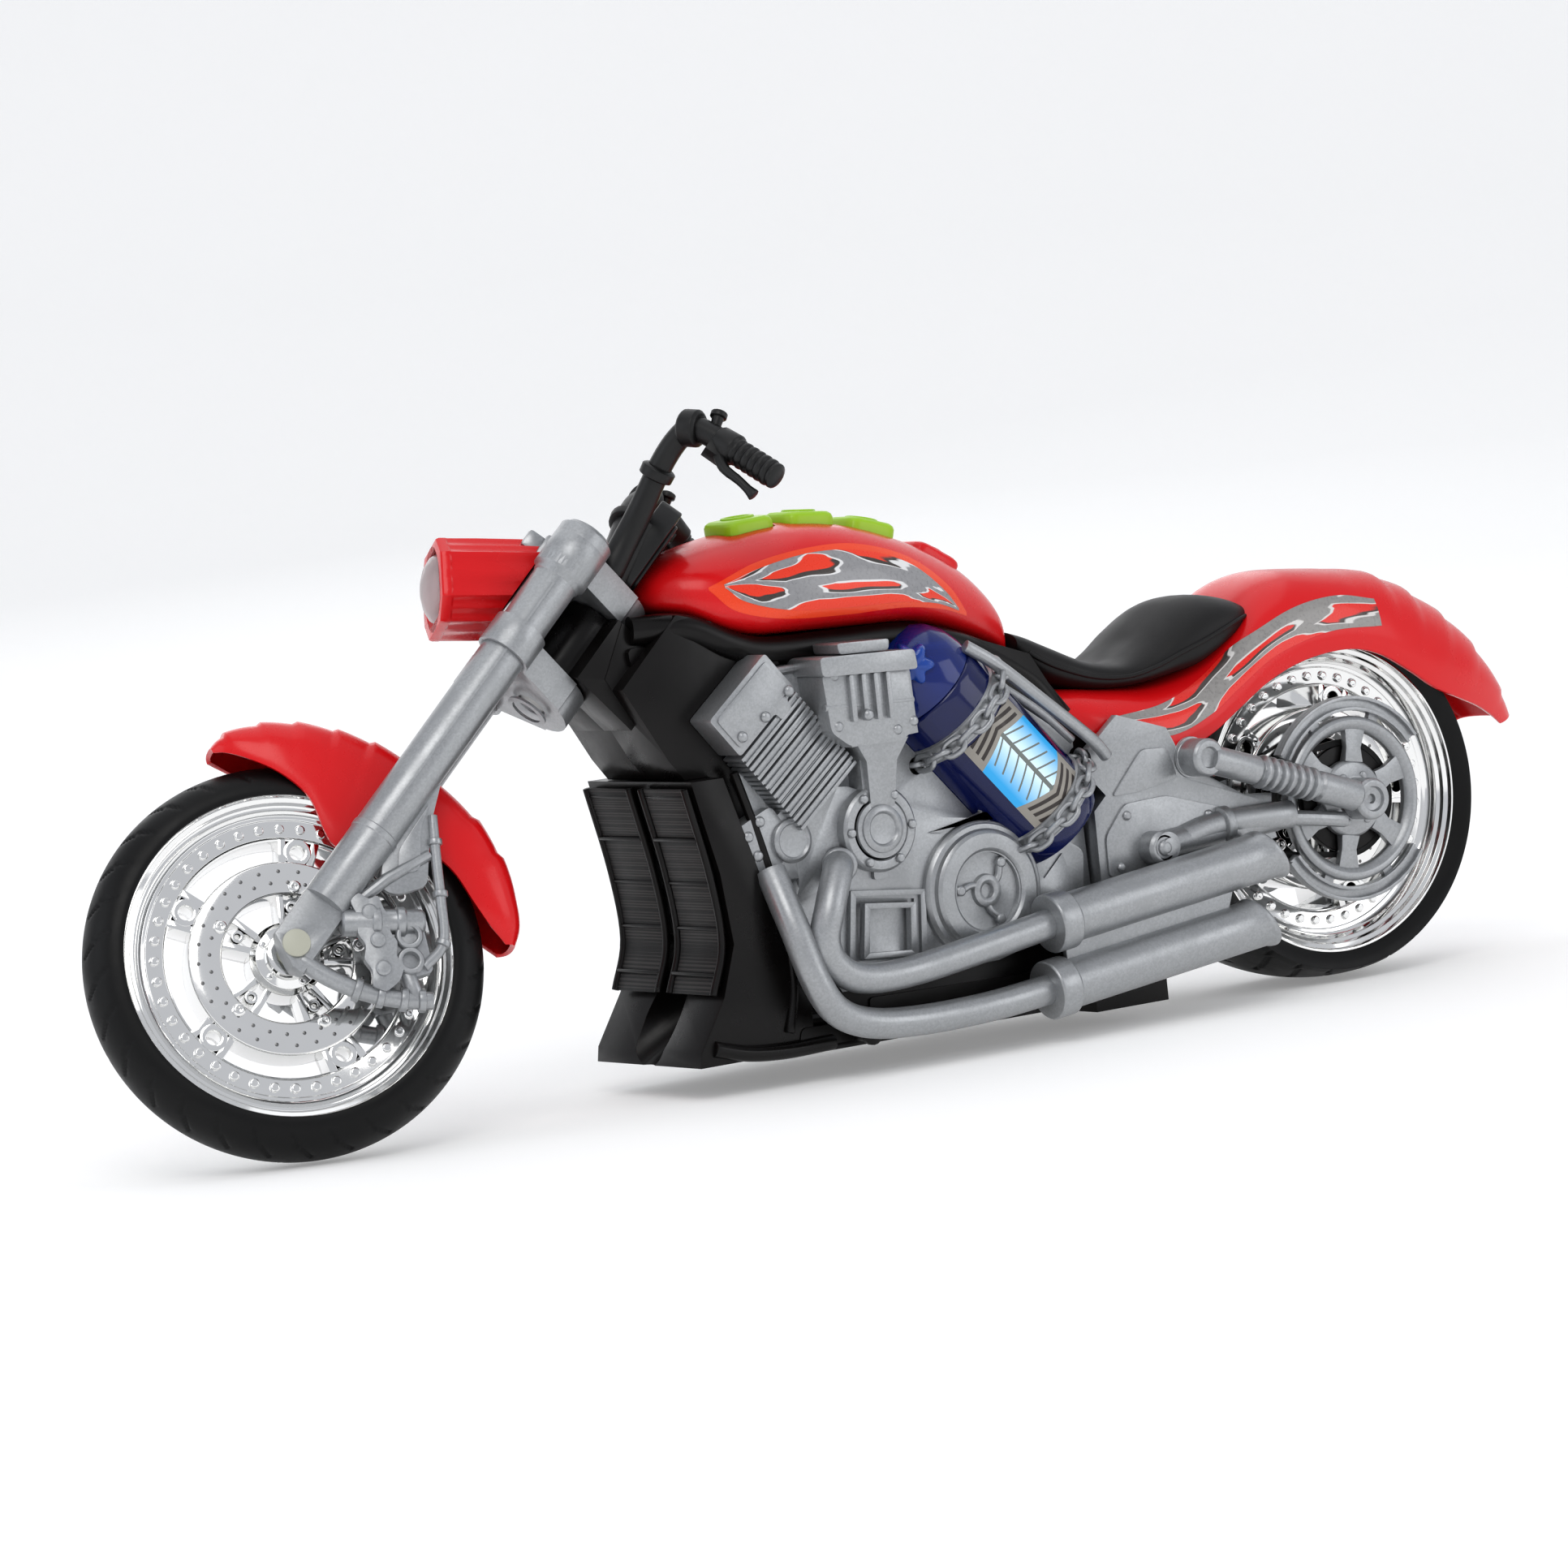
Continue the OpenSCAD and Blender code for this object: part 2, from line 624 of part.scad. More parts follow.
module canister() intersection() {
    difference() {
        canister_solid(0);
        canister_frame() rotate([0, 90, 0]) translate([0, 0, 4])
            cylinder(h = canister_l - 1.6, r = canister_r - 1.6);
        canister_frame() translate([4, 0, 0]) sphere(r = canister_r - 1.6);
    }
    outside_frame();
}

module canister_left() color(navy, 0.8) body_frame() canister();
module canister_right() color(navy, 0.8) body_frame() mirror_y() canister();

band_r = canister_r + 1.75;
band_at = [11, 39];
module chain_band(x, minor) canister_frame() translate([x, 0, 0]) rotate([0, 90, 0])
    rotate_extrude() translate([band_r, 0]) circle(r = minor, $fn = 24);

module chain_bands() intersection() {
    for (x = band_at) chain_band(x, 1.7);
    outside_frame();
}

module chain_bands_left() color(silver) body_frame() chain_bands();
module chain_bands_right() color(silver) body_frame() mirror_y() chain_bands();

led_x = 158;
module led_board() color("green") body_frame() {
    box(led_x - 4, led_x + 4, -9.5, 9.5, 52, 53.4);
    for (s = [-1, 1]) translate([led_x, s * 5, 53.4]) cylinder(h = 5, r = 2.4);
}

// A relief block whose top faces left, turned about the Y axis
module relief(x, z, turn, length, width, depth) translate([x, -frame_hw - slit - depth, z])
    rotate([0, turn, 0]) translate([-length / 2, 0, -width / 2]) cube([length, depth, width]);

crank_outline = [
    [96, 44], [100, 52], [108, 57], [118, 56], [140, 47], [160, 44], [168, 36], [172, 22], [150, 17],
    [112, 16], [106, 24], [97, 40]
];
back_plate = [[104, 80], [138, 80], [150, 76], [175, 58], [176, 24], [150, 20], [112, 20], [94, 60]];

module engine() difference() {
    union() {
        slab(back_plate, frame_hw + slit, frame_hw + 2);
        slab(crank_outline, frame_hw + slit, 18.5);
        // Front cylinder: head plate and fins
        cylinder_block();
        // Air box with its neck down to the round cover
        slab([[110, 80.5], [131, 80.5], [132, 65], [116, 64]], frame_hw + slit, 24.5);
        relief(123.6, 58, 90, 16, 7, 6.5);
        boss(123, 47, 8.4, frame_hw + slit, 21);
        boss(123, 47, 5.8, 20, 21.8);
        // Clutch cover
        boss(147, 31.5, 13.6, frame_hw + slit, 20);
        boss(147, 31.5, 11, 19, 21.4);
    }
    box(belly_front - slit, belly_back, -belly_hw - slit, 0, 0, belly_top + slit);
    boss(147, 31.5, 7.6, 20.2, 30);
    boss(123, 47, 2.8, 21.3, 30);
    // Framed window of the crankcase
    slab([[117, 34], [131, 32], [130, 21], [117, 22]], 17.6, 30);
    canister_solid(slit);
    for (x = band_at) chain_band(x, 1.7 + slit);
    pipes(slit);
    radiator_body(slit);
}

cyl_at = [103, 66];
cyl_turn = 51;
module cylinder_block() {
    relief(cyl_at[0], cyl_at[1], cyl_turn, 31, 15.4, 4.4);
    for (i = [0 : 9]) translate([cyl_at[0], 0, cyl_at[1]]) rotate([0, cyl_turn, 0])
        translate([-5 + i * 2, -frame_hw - 6.6, -8.6]) cube([1.1, 6.4, 17.2]);
    translate([cyl_at[0], 0, cyl_at[1]]) rotate([0, cyl_turn, 0])
        translate([-16, -frame_hw - 6.6, -8.9]) cube([9.6, 6.4, 17.8]);
}

module engine_left() color(silver) body_frame() engine();
module engine_right() color(silver) body_frame() mirror_y() engine();

header_r = 3;
silencer_end = 214;
// Two swept headers with collars and silencers, grown by a gap
module pipes(grow) {
    y = -pipe_y;
    bent_tube([
        [114, -19.5, 41], [109, y + 2, 40], [103.4, y, 31], [106, y, 22.5], [113, y, 18.6], [124, y, 18.6],
        [156, y, 23.4]
    ], header_r + grow);
    bent_tube(
        [[101.5, -19, 40], [101.5, y + 1.5, 28], [104.6, y, 14], [114, y, 9.8], [154, y, 10.6]],
        header_r + grow
    );
    rod([155, y, 23.2], [160, y, 24], silencer_r + 0.6 + grow);
    rod([158, y, 23.6], [silencer_end, y, 30], silencer_r + grow);
    rod([153, y, 9.9], [158, y, 10.6], silencer_r + 0.6 + grow);
    rod([156, y, 10.4], [silencer_end - 4, y, 16.4], silencer_r + grow);
    // Web between the silencers
    slab([[160, 23], [208, 27], [204, 17], [160, 12]], pipe_y - 0.8 - grow, pipe_y + 0.8 + grow);
}

module exhaust() difference() {
    pipes(0);
    rod([silencer_end - 16, -pipe_y, 28.2], [silencer_end + 6, -pipe_y, 30.7], silencer_r - 0.9);
    rod([silencer_end - 20, -pipe_y, 14.7], [silencer_end + 2, -pipe_y, 17], silencer_r - 0.9);
    // Slanted mouths
    slab([
        [silencer_end - 3, 23], [silencer_end + 9, 23], [silencer_end + 9, 40], [silencer_end + 2, 40]
    ], 10, 40);
    slab([
        [silencer_end - 7, 6], [silencer_end + 9, 6], [silencer_end + 9, 22.5], [silencer_end - 1, 22.5]
    ], 10, 40);
    box(60, 240, -frame_hw - 4.4, 0, 0, 60);
}

module exhaust_left() color(silver) body_frame() exhaust();
module exhaust_right() color(silver) body_frame() mirror_y() exhaust();

// ---------------------------------------------------------------- tank
// Spheres that the tank's skin is stretched over: place and radius
tank_balls = [
    [91.5, 5, 97.2, 6], [111, 10.5, 97, 9], [134, 10.5, 95.2, 8.6], [149, 7.5, 90.6, 7], [162, 3, 84, 5.2],
    [113, 3, 102.6, 5], [125, 3, 102.6, 4.6]
];

module tank_skin(inset) hull() for (b = tank_balls) for (s = [-1, 1])
    translate([b[0], s * b[1], b[2]]) sphere(r = b[3] - inset, $fn = soft_fn);

module under_tank() full_slab([
    [70, 94], [87, 93.8], [93, 91.9], [98, 88.2], [104, 86.9], [138, 86.1], [151, 82.9], [175, 74],
    [175, 60], [70, 60]
], 40);

// Buttons: place of the cap's middle on the tank's top line, and its lean.
// The cap's skirt stays under the tank's skin at the end of its travel.
button_places = [[111, 106.2, -3], [125, 106, 5], [139, 102.8, 16], [153.4, 95.4, 31]];
cap_low = -2 - button_travel;
cap_high = 2.6;

module button_frame(i) translate([button_places[i][0], 0, button_places[i][1]])
    rotate([0, button_places[i][2], 0]) children();

module cap_outline(grow) {
    x = button_size[0] / 2 + grow;
    y = button_size[1] / 2 + grow;
    c = 2.4;
    polygon([
        [-x, -y + c], [-x + c, -y], [x - c, -y], [x, -y + c],
        [x, y - c], [x - c, y], [-x + c, y], [-x, y - c]
    ]);
}

module button_cap(i) button_frame(i) {
    translate([0, 0, cap_low]) linear_extrude(cap_high - cap_low) cap_outline(0);
    translate([0, 0, cap_high]) cylinder(h = 0.7, r = 3.6);
    translate([0, 0, cap_low - stem_l(i)]) cylinder(h = stem_l(i), r = 1.8);
}

// Each stem stops just over its switch.
function stem_l(i) = i < 3 ? button_places[i][1] + cap_low - board_z - 4.6 : 3.2;

board_z = 93.4;
module fuel_tank() color(red) body_frame() difference() {
    tank_skin(0);
    difference() {
        tank_skin(wall);
        box(80, 90, -20, 20, 80, 110);
    }
    under_tank();
    for (i = [0 : 3]) button_frame(i) translate([0, 0, -7]) linear_extrude(14) cap_outline(button_gap);
    // Room for the clamp and the riser as they turn
    straight_fork_axes() {
        translate([0, 0, upper_clamp_z - 4]) cylinder(h = 40, r = 9);
        translate([0, 0, upper_clamp_z + clamp_h - 0.4]) cylinder(h = 40, r = 11.4);
    }
}

module switch_board() color("green") body_frame() {
    box(103, 143.5, -8, 8, board_z, board_z + 1.2);
    for (i = [0 : 2]) translate([button_places[i][0] + (i == 2 ? -3 : 0), 0, board_z + 1.2])
        translate([-3, -3, 0]) cube([6, 6, 1.4]);
}

module rear_switch_board() color("green") body_frame() button_frame(3) {
    translate([-4, -5, -11]) cube([8, 10, 1]);
    translate([-2.4, -2.4, -10]) cube([4.8, 4.8, 0.9]);
}

module button_front() color(lime) body_frame() button_cap(0);
module button_middle() color(lime) body_frame() button_cap(1);
module button_rear() color(lime) body_frame() button_cap(2);
module button_red() color(red) body_frame() button_cap(3);

speaker_at = [124, 60];
module speaker() color(black) body_frame() translate([speaker_at[0], 0, speaker_at[1]]) rotate([90, 0, 0]) {
    cylinder(h = 3, r = 14);
    translate([0, 0, -4]) cylinder(h = 4.1, r1 = 7, r2 = 12);
    translate([0, 0, -8]) cylinder(h = 4.1, r = 7);
}

module drive_motor() color("silver") body_frame() {
    intersection() {
        translate([motor_x, 10, motor_z]) rotate([90, 0, 0]) cylinder(h = 20, r = 10);
        box(motor_x - 12, motor_x + 12, -10, 10, motor_z - 7.5, motor_z + 7.5);
    }
}

// ---------------------------------------------------------------- seat and tail
// Stations along the seat: X, Z, radius and half width
seat_stations = [
    [175, 74.4, 3.6, 6], [185, 70.2, 4, 9], [196, 69.4, 5, 12], [207, 72.6, 6.6, 13.5], [217, 74, 6.6, 12.5],
    [225, 73.4, 4.6, 8]
];

module seat_station(s) for (k = [-1, 1]) translate([s[0], k * (s[3] - s[2]), s[1]])
    sphere(r = s[2], $fn = soft_fn);

module seat_solid() for (i = [0 : len(seat_stations) - 2]) hull() {
    seat_station(seat_stations[i]);
    seat_station(seat_stations[i + 1]);
}

module seat() color(black) body_frame() difference() {
    seat_solid();
    full_slab([
        [160, 79.2], [172, 72.2], [184, 67], [196, 66], [211, 68], [226, 72], [226, 40], [160, 40]
    ], 30);
    tank_skin(-slit);
    translate([wheelbase, 0, rear_r]) rotate([90, 0, 0]) cylinder(h = 60, r = seat_rest_r, center = true);
}

seat_rest_r = 40.9;                 // the fender's liner under the seat
fender_r = 42.4;
fender_hw = 17.6;
module fender_shell() difference() {
    union() {
        translate([wheelbase, 0, rear_r]) rotate([0, -14, 0]) about_axle(138)
            fender_section(fender_r, fender_hw, 1.6, 31);
        // Saddle under the seat
        full_slab([
            [173, 66], [184, 66.8], [196, 65.8], [211, 67.8], [222, 72], [230, 78], [240, 60], [208, 55],
            [197, 52.4], [188, 52.6]
        ], fender_hw);
        // Duck tail
        full_slab([[266, 73], [277, 69], [287, 59], [296, 47.4], [286, 49], [274, 60]], 9);
    }
    translate([wheelbase, 0, rear_r]) rotate([90, 0, 0])
        cylinder(h = 2 * (fender_hw - 1.6), r = rear_r + 2, center = true);
    translate([wheelbase, 0, rear_r]) rotate([90, 0, 0]) cylinder(h = 60, r = 31, center = true);
}

module rear_fender() color(red) body_frame() difference() {
    fender_shell();
    // Room for the seat's tail
    difference() {
        full_slab([[196, 65.9], [211, 67.9], [226, 71.9], [230.4, 72], [230.4, 95], [196, 95]], 30);
        translate([wheelbase, 0, rear_r]) rotate([90, 0, 0])
            cylinder(h = 60, r = seat_rest_r - 0.2, center = true);
    }
    full_slab([[160, 79.2], [174, 72.1], [174, 40], [160, 40]], 30);
    full_slab([for (p = frame_outline) [p[0] + slit, p[1] + slit]], frame_hw + slit);
    for (s = [0, 1]) mirror([0, s, 0]) {
        slab(back_plate, frame_hw, frame_hw + 2.2);
        canister_solid(slit);
        for (x = band_at) chain_band(x, 1.7 + slit);
    }
}

// ---------------------------------------------------------------- rear end
arm_y0 = 17.2;
arm_y1 = 19.4;
cover_r = 17;
shock_y = 23.9;
shock_r = 2.9;
shock_top = [201.4, 51.2];

module covers_solid(grow) translate([wheelbase, 0, rear_r]) {
    rotate([90, 0, 0]) translate([0, 0, arm_y0 - grow]) cylinder(h = 3.4 + 2 * grow, r = cover_r + grow);
}

module cover() difference() {
    union() {
        about_axle() {
            translate([cover_r - 1.7, arm_y0 + 1.6]) circle(r = 1.6, $fn = 32);
            ring_section(6, cover_r - 1.8, arm_y0, arm_y0 + 1.6);
            ring_section(1, 6.5, arm_y0, arm_y0 + 3.1);
        }
        // Guard strips above and below the disc
        difference() {
            about_axle() ring_section(18.4, 21, arm_y0, arm_y0 + 2.4);
            translate([-40, -40, -13]) cube([80, 80, 26]);
        }
        for (a = [60, 120, 250, 290]) rotate([0, -a, 0])
            translate([14, -arm_y0 - 2, -1.2]) cube([6, 2, 2.4]);
    }
    for (a = [0 : 5]) rotate([0, a * 60 + 20, 0]) translate([8.4, -arm_y0 - 5, -2]) cube([4.2, 10, 4]);
    rotate([90, 0, 0]) cylinder(h = 60, r = axle_r + fit, center = true);
}

module belt_cover() color(silver) rear_wheel_frame() cover();
module disc_cover() color(silver) rear_wheel_frame() mirror_y() cover();

// Plate from the engine to the axle, with the tube along it
module swingarm() difference() {
    union() {
        slab([
            [176.2, 24], [176.2, 56], [184, 62], [196, 58], [200, 50], [214, 42], [226, 41], [226, 33],
            [196, 28]],
            arm_y0, arm_y1);
        slab([[176.2, 28], [176.2, 54], [180.6, 54], [180.6, 28]], frame_hw + slit, arm_y0 + 0.1);
        rod([190, -20.3, 34.5], [223, -20.3, 36.6], 2.9);
        boss(190, 34.5, 3, arm_y0, 24.5);
        boss(190, 34.5, 1.8, 24, 25.3);
        rod([222, -21.3, 35.6], [236, -22.2, 34], 1.5);
        boss(shock_top[0], shock_top[1], 4.2, arm_y0, 19.9);
    }
    covers_solid(slit);
    canister_solid(slit);
    for (x = band_at) chain_band(x, 1.7 + slit);
    translate([wheelbase, 0, rear_r]) rotate([90, 0, 0]) cylinder(h = 40, r = 21.3);
    pipes(slit);
    shock_solid(slit);
    rear_fender_zone();
}

// Side of the rear fender, kept free by the arm plate
module rear_fender_zone() slab([
    [170, 66], [188, 52.4], [197, 52.2], [208, 54.8], [216, 60], [216, 80], [170, 80]],
    0, fender_hw + slit);

module shock_solid(grow) {
    low = [wheelbase, rear_r];
    rod([shock_top[0], -shock_y, shock_top[1]], [low[0], -shock_y, low[1]], shock_r + grow);
    boss(shock_top[0], shock_top[1], 4 + grow, 20 - grow, 26 + grow);
    boss(low[0], low[1], 4 + grow, 20.7 - grow, 26.3 + grow);
}

module shock() difference() {
    union() {
        shock_solid(0);
        for (i = [0 : 5]) {
            t = 0.38 + i * 0.05;
            p = [
                shock_top[0] + t * (wheelbase - shock_top[0]), -shock_y,
                shock_top[1] + t * (rear_r - shock_top[1])
            ];
            translate(p) rotate([0, 110, 0]) cylinder(h = 1, r = shock_r + 0.5, center = true);
        }
    }
    boss(wheelbase, rear_r, 2, 25.8, 30);
}

module shock_left() color(silver) body_frame() shock();
module shock_right() color(silver) body_frame() mirror_y() shock();
module swingarm_left() color(silver) body_frame() swingarm();
module swingarm_right() color(silver) body_frame() mirror_y() swingarm();

// ---------------------------------------------------------------- the bike
frame_left();
frame_right();
radiator_scoop();
battery_door();
door_screw();
batteries();
battery_contacts();
engine_left();
engine_right();
exhaust_left();
exhaust_right();
canister_left();
canister_right();
chain_bands_left();
chain_bands_right();
led_board();
fuel_tank();
switch_board();
rear_switch_board();
speaker();
seat();
rear_fender();
swingarm_left();
swingarm_right();
shock_left();
shock_right();
belt_cover();
disc_cover();
drive_motor();
drive_belt();
case_screws();
button_front();
button_middle();
button_rear();
button_red();
power_switch();
motor_pulley();
rear_rim();
rear_tyre();
rear_axle();
rear_pulley();
fork_leg_left();
fork_leg_right();
upper_clamp();
lower_clamp();
steering_screw();
front_fender();
headlight_shell();
headlight_lens();
headlight_led();
handlebar_left();
handlebar_right();
riser_plate();
caliper_left();
caliper_right();
front_axle();
front_rim();
front_tyre();
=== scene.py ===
"""Toy chopper motorcycle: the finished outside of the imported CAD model."""

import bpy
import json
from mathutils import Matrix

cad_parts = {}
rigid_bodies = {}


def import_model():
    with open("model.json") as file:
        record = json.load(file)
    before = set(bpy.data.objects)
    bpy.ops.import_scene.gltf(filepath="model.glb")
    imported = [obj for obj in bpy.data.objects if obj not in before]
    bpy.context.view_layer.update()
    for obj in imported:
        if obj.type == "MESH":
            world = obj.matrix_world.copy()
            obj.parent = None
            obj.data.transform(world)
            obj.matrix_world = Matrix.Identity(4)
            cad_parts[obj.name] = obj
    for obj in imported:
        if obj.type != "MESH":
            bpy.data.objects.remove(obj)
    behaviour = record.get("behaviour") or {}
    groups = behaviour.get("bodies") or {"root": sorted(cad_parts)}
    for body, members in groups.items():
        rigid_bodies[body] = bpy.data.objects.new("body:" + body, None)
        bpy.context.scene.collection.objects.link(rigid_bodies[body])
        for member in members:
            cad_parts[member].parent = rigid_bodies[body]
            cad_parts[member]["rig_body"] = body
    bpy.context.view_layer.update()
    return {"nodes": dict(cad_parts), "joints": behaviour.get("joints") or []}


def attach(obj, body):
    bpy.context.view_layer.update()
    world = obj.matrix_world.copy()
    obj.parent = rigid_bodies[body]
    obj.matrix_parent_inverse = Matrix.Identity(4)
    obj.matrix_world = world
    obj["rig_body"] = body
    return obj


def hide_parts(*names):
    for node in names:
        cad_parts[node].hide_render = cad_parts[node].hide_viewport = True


bl_info = {
    "name": "Toy Chopper",
    "version": (1, 0, 0),
    "blender": (4, 5, 0),
    "location": "3D View > Sidebar > Chopper",
    "description": "Builds the wheels, printed tank, engine, fork and other outside pieces of a toy chopper",
    "category": "Object",
}

import json
import math

import bmesh
import bpy
from mathutils import Matrix, Vector
from mathutils.bvhtree import BVHTree

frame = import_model()
JOINTS = {j["name"]: j for j in frame["joints"]}
MM = 0.001

# Shared sizes in millimetres; chassis places count from the front wheel's centre, fork straight
WHEELBASE = 242.0
RAKE = math.radians(46.85)
FORK_OFFSET = 9.8
LEG_Y = 14.2
AXIS_Y = Vector((0, 1, 0))
FRONT_TYRE_R = 38.5
REAR_TYRE_R = 37.5
RIM_R = 32.2
CHAIN_R = 13.5
LINK_WIRE_R = 0.62
BAR_BASE = 100.0  # height of the bars' foot, along the fork

# Shading and rounding, in degrees
SHARP_ANGLE = 32.0
BEVEL_ANGLE = 28.0

# The camera: its aim on the chassis in millimetres, its angles in degrees, its distance in metres
LOOK_AT = (115.34, 0, 56.71)
CAMERA_TURN = 33.22
CAMERA_RISE = 4.38
CAMERA_ROLL = 5.93
CAMERA_DISTANCE = 1.4002
LAMP_AIM = (0, 0, 0.06)
FLOOR_DROP = 0.0006


# ---------------------------------------------------------------- frames
def local_frames():
    """Millimetre frames of the chassis, the fork and both wheels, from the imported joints."""
    scale = Matrix.Scale(MM, 4)
    rear = Vector(JOINTS["rear_wheel_spin"]["pos_m"])
    head = Vector(JOINTS["steering"]["pos_m"])
    spin = Matrix.Rotation(-RAKE, 3, "Y") @ Vector(JOINTS["front_wheel_spin"]["axis"])
    steer = math.atan2(-spin.x, spin.y)
    fork = Matrix.Translation(head) @ Matrix.Rotation(RAKE, 4, "Y") @ Matrix.Rotation(steer, 4, "Z") @ scale
    return {
        "chassis": Matrix.Translation((rear.x - WHEELBASE * MM, rear.y, 0)) @ scale,
        "fork": fork,
        "front": fork @ Matrix.Translation((-FORK_OFFSET, 0, 0)) @ Matrix.Rotation(-RAKE, 4, "Y"),
        "rear": Matrix.Translation(rear) @ scale,
    }


FRAMES = local_frames()


# ---------------------------------------------------------------- mesh forms
def smooth_line(points, steps=6, closed=False):
    """Points of a smooth line through the given ones."""
    p = [Vector(q) for q in points]
    n = len(p)
    out = []
    for i in range(n if closed else n - 1):
        a = p[(i - 1) % n] if closed or i else 2 * p[0] - p[1]
        b, c = p[i], p[(i + 1) % n]
        d = p[(i + 2) % n] if closed or i + 2 < n else 2 * p[-1] - p[-2]
        for k in range(steps):
            t = k / steps
            square, cube = 2 * a - 5 * b + 4 * c - d, 3 * b - a - 3 * c + d
            out.append(0.5 * (2 * b + (c - a) * t + square * t**2 + cube * t**3))
    return out if closed else out + [p[-1]]


def round_outline(points, radius, steps=3):
    """A closed 2-D outline with its corners rounded."""
    out = []
    n = len(points)
    for i in range(n):
        b = Vector(points[i])
        a, c = Vector(points[i - 1]) - b, Vector(points[(i + 1) % n]) - b
        cut = min(radius, a.length * 0.45, c.length * 0.45)
        p, q = b + a.normalized() * cut, b + c.normalized() * cut
        for k in range(steps + 1):
            t = k / steps
            out.append((1 - t) ** 2 * p + 2 * t * (1 - t) * b + t * t * q)
    return [(v.x, v.y) for v in out]


class Form:
    """A mesh in millimetres, made of simple closed forms; each face keeps its material's number."""

    def __init__(self):
        self.verts, self.faces, self.slots, self.uvs = [], [], [], {}

    def add(self, verts, faces, slot=0, matrix=None, uvs=None):
        base = len(self.verts)
        move = matrix or Matrix.Identity(4)
        flip = move.to_3x3().determinant() < 0
        self.verts += [move @ Vector(v) for v in verts]
        for i, f in enumerate(faces):
            ring = [base + k for k in f]
            uv = uvs[i] if uvs else None
            self.faces.append(ring[::-1] if flip else ring)
            self.slots.append(slot)
            if uv:
                self.uvs[len(self.faces) - 1] = uv[::-1] if flip else uv
        return self

    def merge(self, other, matrix=None):
        base = len(self.faces)
        self.add(other.verts, other.faces, 0, matrix)
        self.slots[base:] = other.slots
        flip = matrix is not None and matrix.to_3x3().determinant() < 0
        for i, uv in other.uvs.items():
            self.uvs[base + i] = uv[::-1] if flip else uv
        return self

    def loft(self, rings, slot=0, matrix=None, closed=False):
        """Skin over rings of equal length."""
        n, m = len(rings[0]), len(rings)
        verts = [v for ring in rings for v in ring]
        faces = [
            [i * n + k, i * n + (k + 1) % n, ((i + 1) % m) * n + (k + 1) % n, ((i + 1) % m) * n + k]
            for i in range(m if closed else m - 1)
            for k in range(n)
        ]
        if not closed:
            faces += [list(range(n))[::-1], [(m - 1) * n + k for k in range(n)]]
        return self.add(verts, faces, slot, matrix)

    def slab(self, outline, y0, y1, slot=0, matrix=None):
        """A side outline in X and Z, from y0 to y1 on the left side."""
        area = sum(a[0] * b[1] - b[0] * a[1] for a, b in zip(outline, outline[1:] + outline[:1]))
        points = outline if area > 0 else outline[::-1]
        return self.loft([[(x, -y0, z) for x, z in points], [(x, -y1, z) for x, z in points]], slot, matrix)

    def turn(self, profile, matrix=None, n=48, slot=0, closed=False):
        """A profile of (radius, height) turned about Z; heights go up, and a zero radius is a pole."""
        verts, rows = [], []
        for r, h in profile:
            if abs(r) < 1e-6:
                rows.append([len(verts)] * n)
                verts.append((0, 0, h))
            else:
                rows.append(list(range(len(verts), len(verts) + n)))
                angles = [2 * math.pi * k / n for k in range(n)]
                verts += [(r * math.cos(a), r * math.sin(a), h) for a in angles]
        faces = []
        pairs = list(zip(rows, rows[1:])) + ([(rows[-1], rows[0])] if closed else [])
        for a, b in pairs:
            for k in range(n):
                f = [a[k], a[(k + 1) % n], b[(k + 1) % n], b[k]]
                f = [v for i, v in enumerate(f) if v not in f[:i]]
                if len(f) > 2:
                    faces.append(f)
        if not closed:
            if profile[0][0] > 1e-6:
                faces.append(rows[0][::-1])
            if profile[-1][0] > 1e-6:
                faces.append(rows[-1])
        return self.add(verts, faces, slot, matrix)

    def boss(self, x, z, profile, slot=0, n=32):
        """A form turned about Y on the left side, from a profile of (radius, distance to the left)."""
        return self.turn(profile, Matrix.Translation((x, 0, z)) @ Matrix.Rotation(math.pi / 2, 4, "X"), n,
                         slot)

    def tube(self, path, r, n=12, slot=0, up=AXIS_Y):
        """A tube along a path; r is one radius or one for each point."""
        p = [Vector(q) for q in path]
        rings = []
        for i, q in enumerate(p):
            t = (p[min(i + 1, len(p) - 1)] - p[max(i - 1, 0)]).normalized()
            a = up.cross(t)
            a = (a if a.length > 0.05 else Vector((1, 0, 0)).cross(t)).normalized()
            b = t.cross(a)
            radius = r[i] if isinstance(r, (list, tuple)) else r
            rings.append([
                q + radius * (math.cos(2 * math.pi * k / n) * a + math.sin(2 * math.pi * k / n) * b)
                for k in range(n)
            ])
        return self.loft(rings, slot)

    def block(self, x0, x1, y0, y1, z0, z1, slot=0, matrix=None):
        ring = [(x0, y0), (x1, y0), (x1, y1), (x0, y1)]
        return self.loft([[(x, y, z) for x, y in ring] for z in (z0, z1)], slot, matrix)

    def mesh(self, name, place):
        me = bpy.data.meshes.new(name)
        flip = place.to_3x3().determinant() < 0
        faces = [f[::-1] if flip else f for f in self.faces]
        me.from_pydata([place @ Vector(v) for v in self.verts], [], faces)
        me.polygons.foreach_set("material_index", self.slots)
        if self.uvs:
            layer = me.uv_layers.new(name="Print")
            for p in me.polygons:
                uv = self.uvs.get(p.index)
                if uv:
                    for k, loop in enumerate(p.loop_indices):
                        layer.data[loop].uv = uv[::-1][k] if flip else uv[k]
        me.validate()
        me.update()
        return me


def aim(origin, direction):
    """A matrix that puts Z along a direction at a point."""
    return Matrix.Translation(origin) @ Vector(direction).to_track_quat("Z", "X").to_matrix().to_4x4()


LEFTWARD = Matrix.Rotation(math.pi / 2, 4, "X")
MIRROR = Matrix.Scale(-1, 4, AXIS_Y)
SIDES = {"left": Matrix.Identity(4), "right": MIRROR}


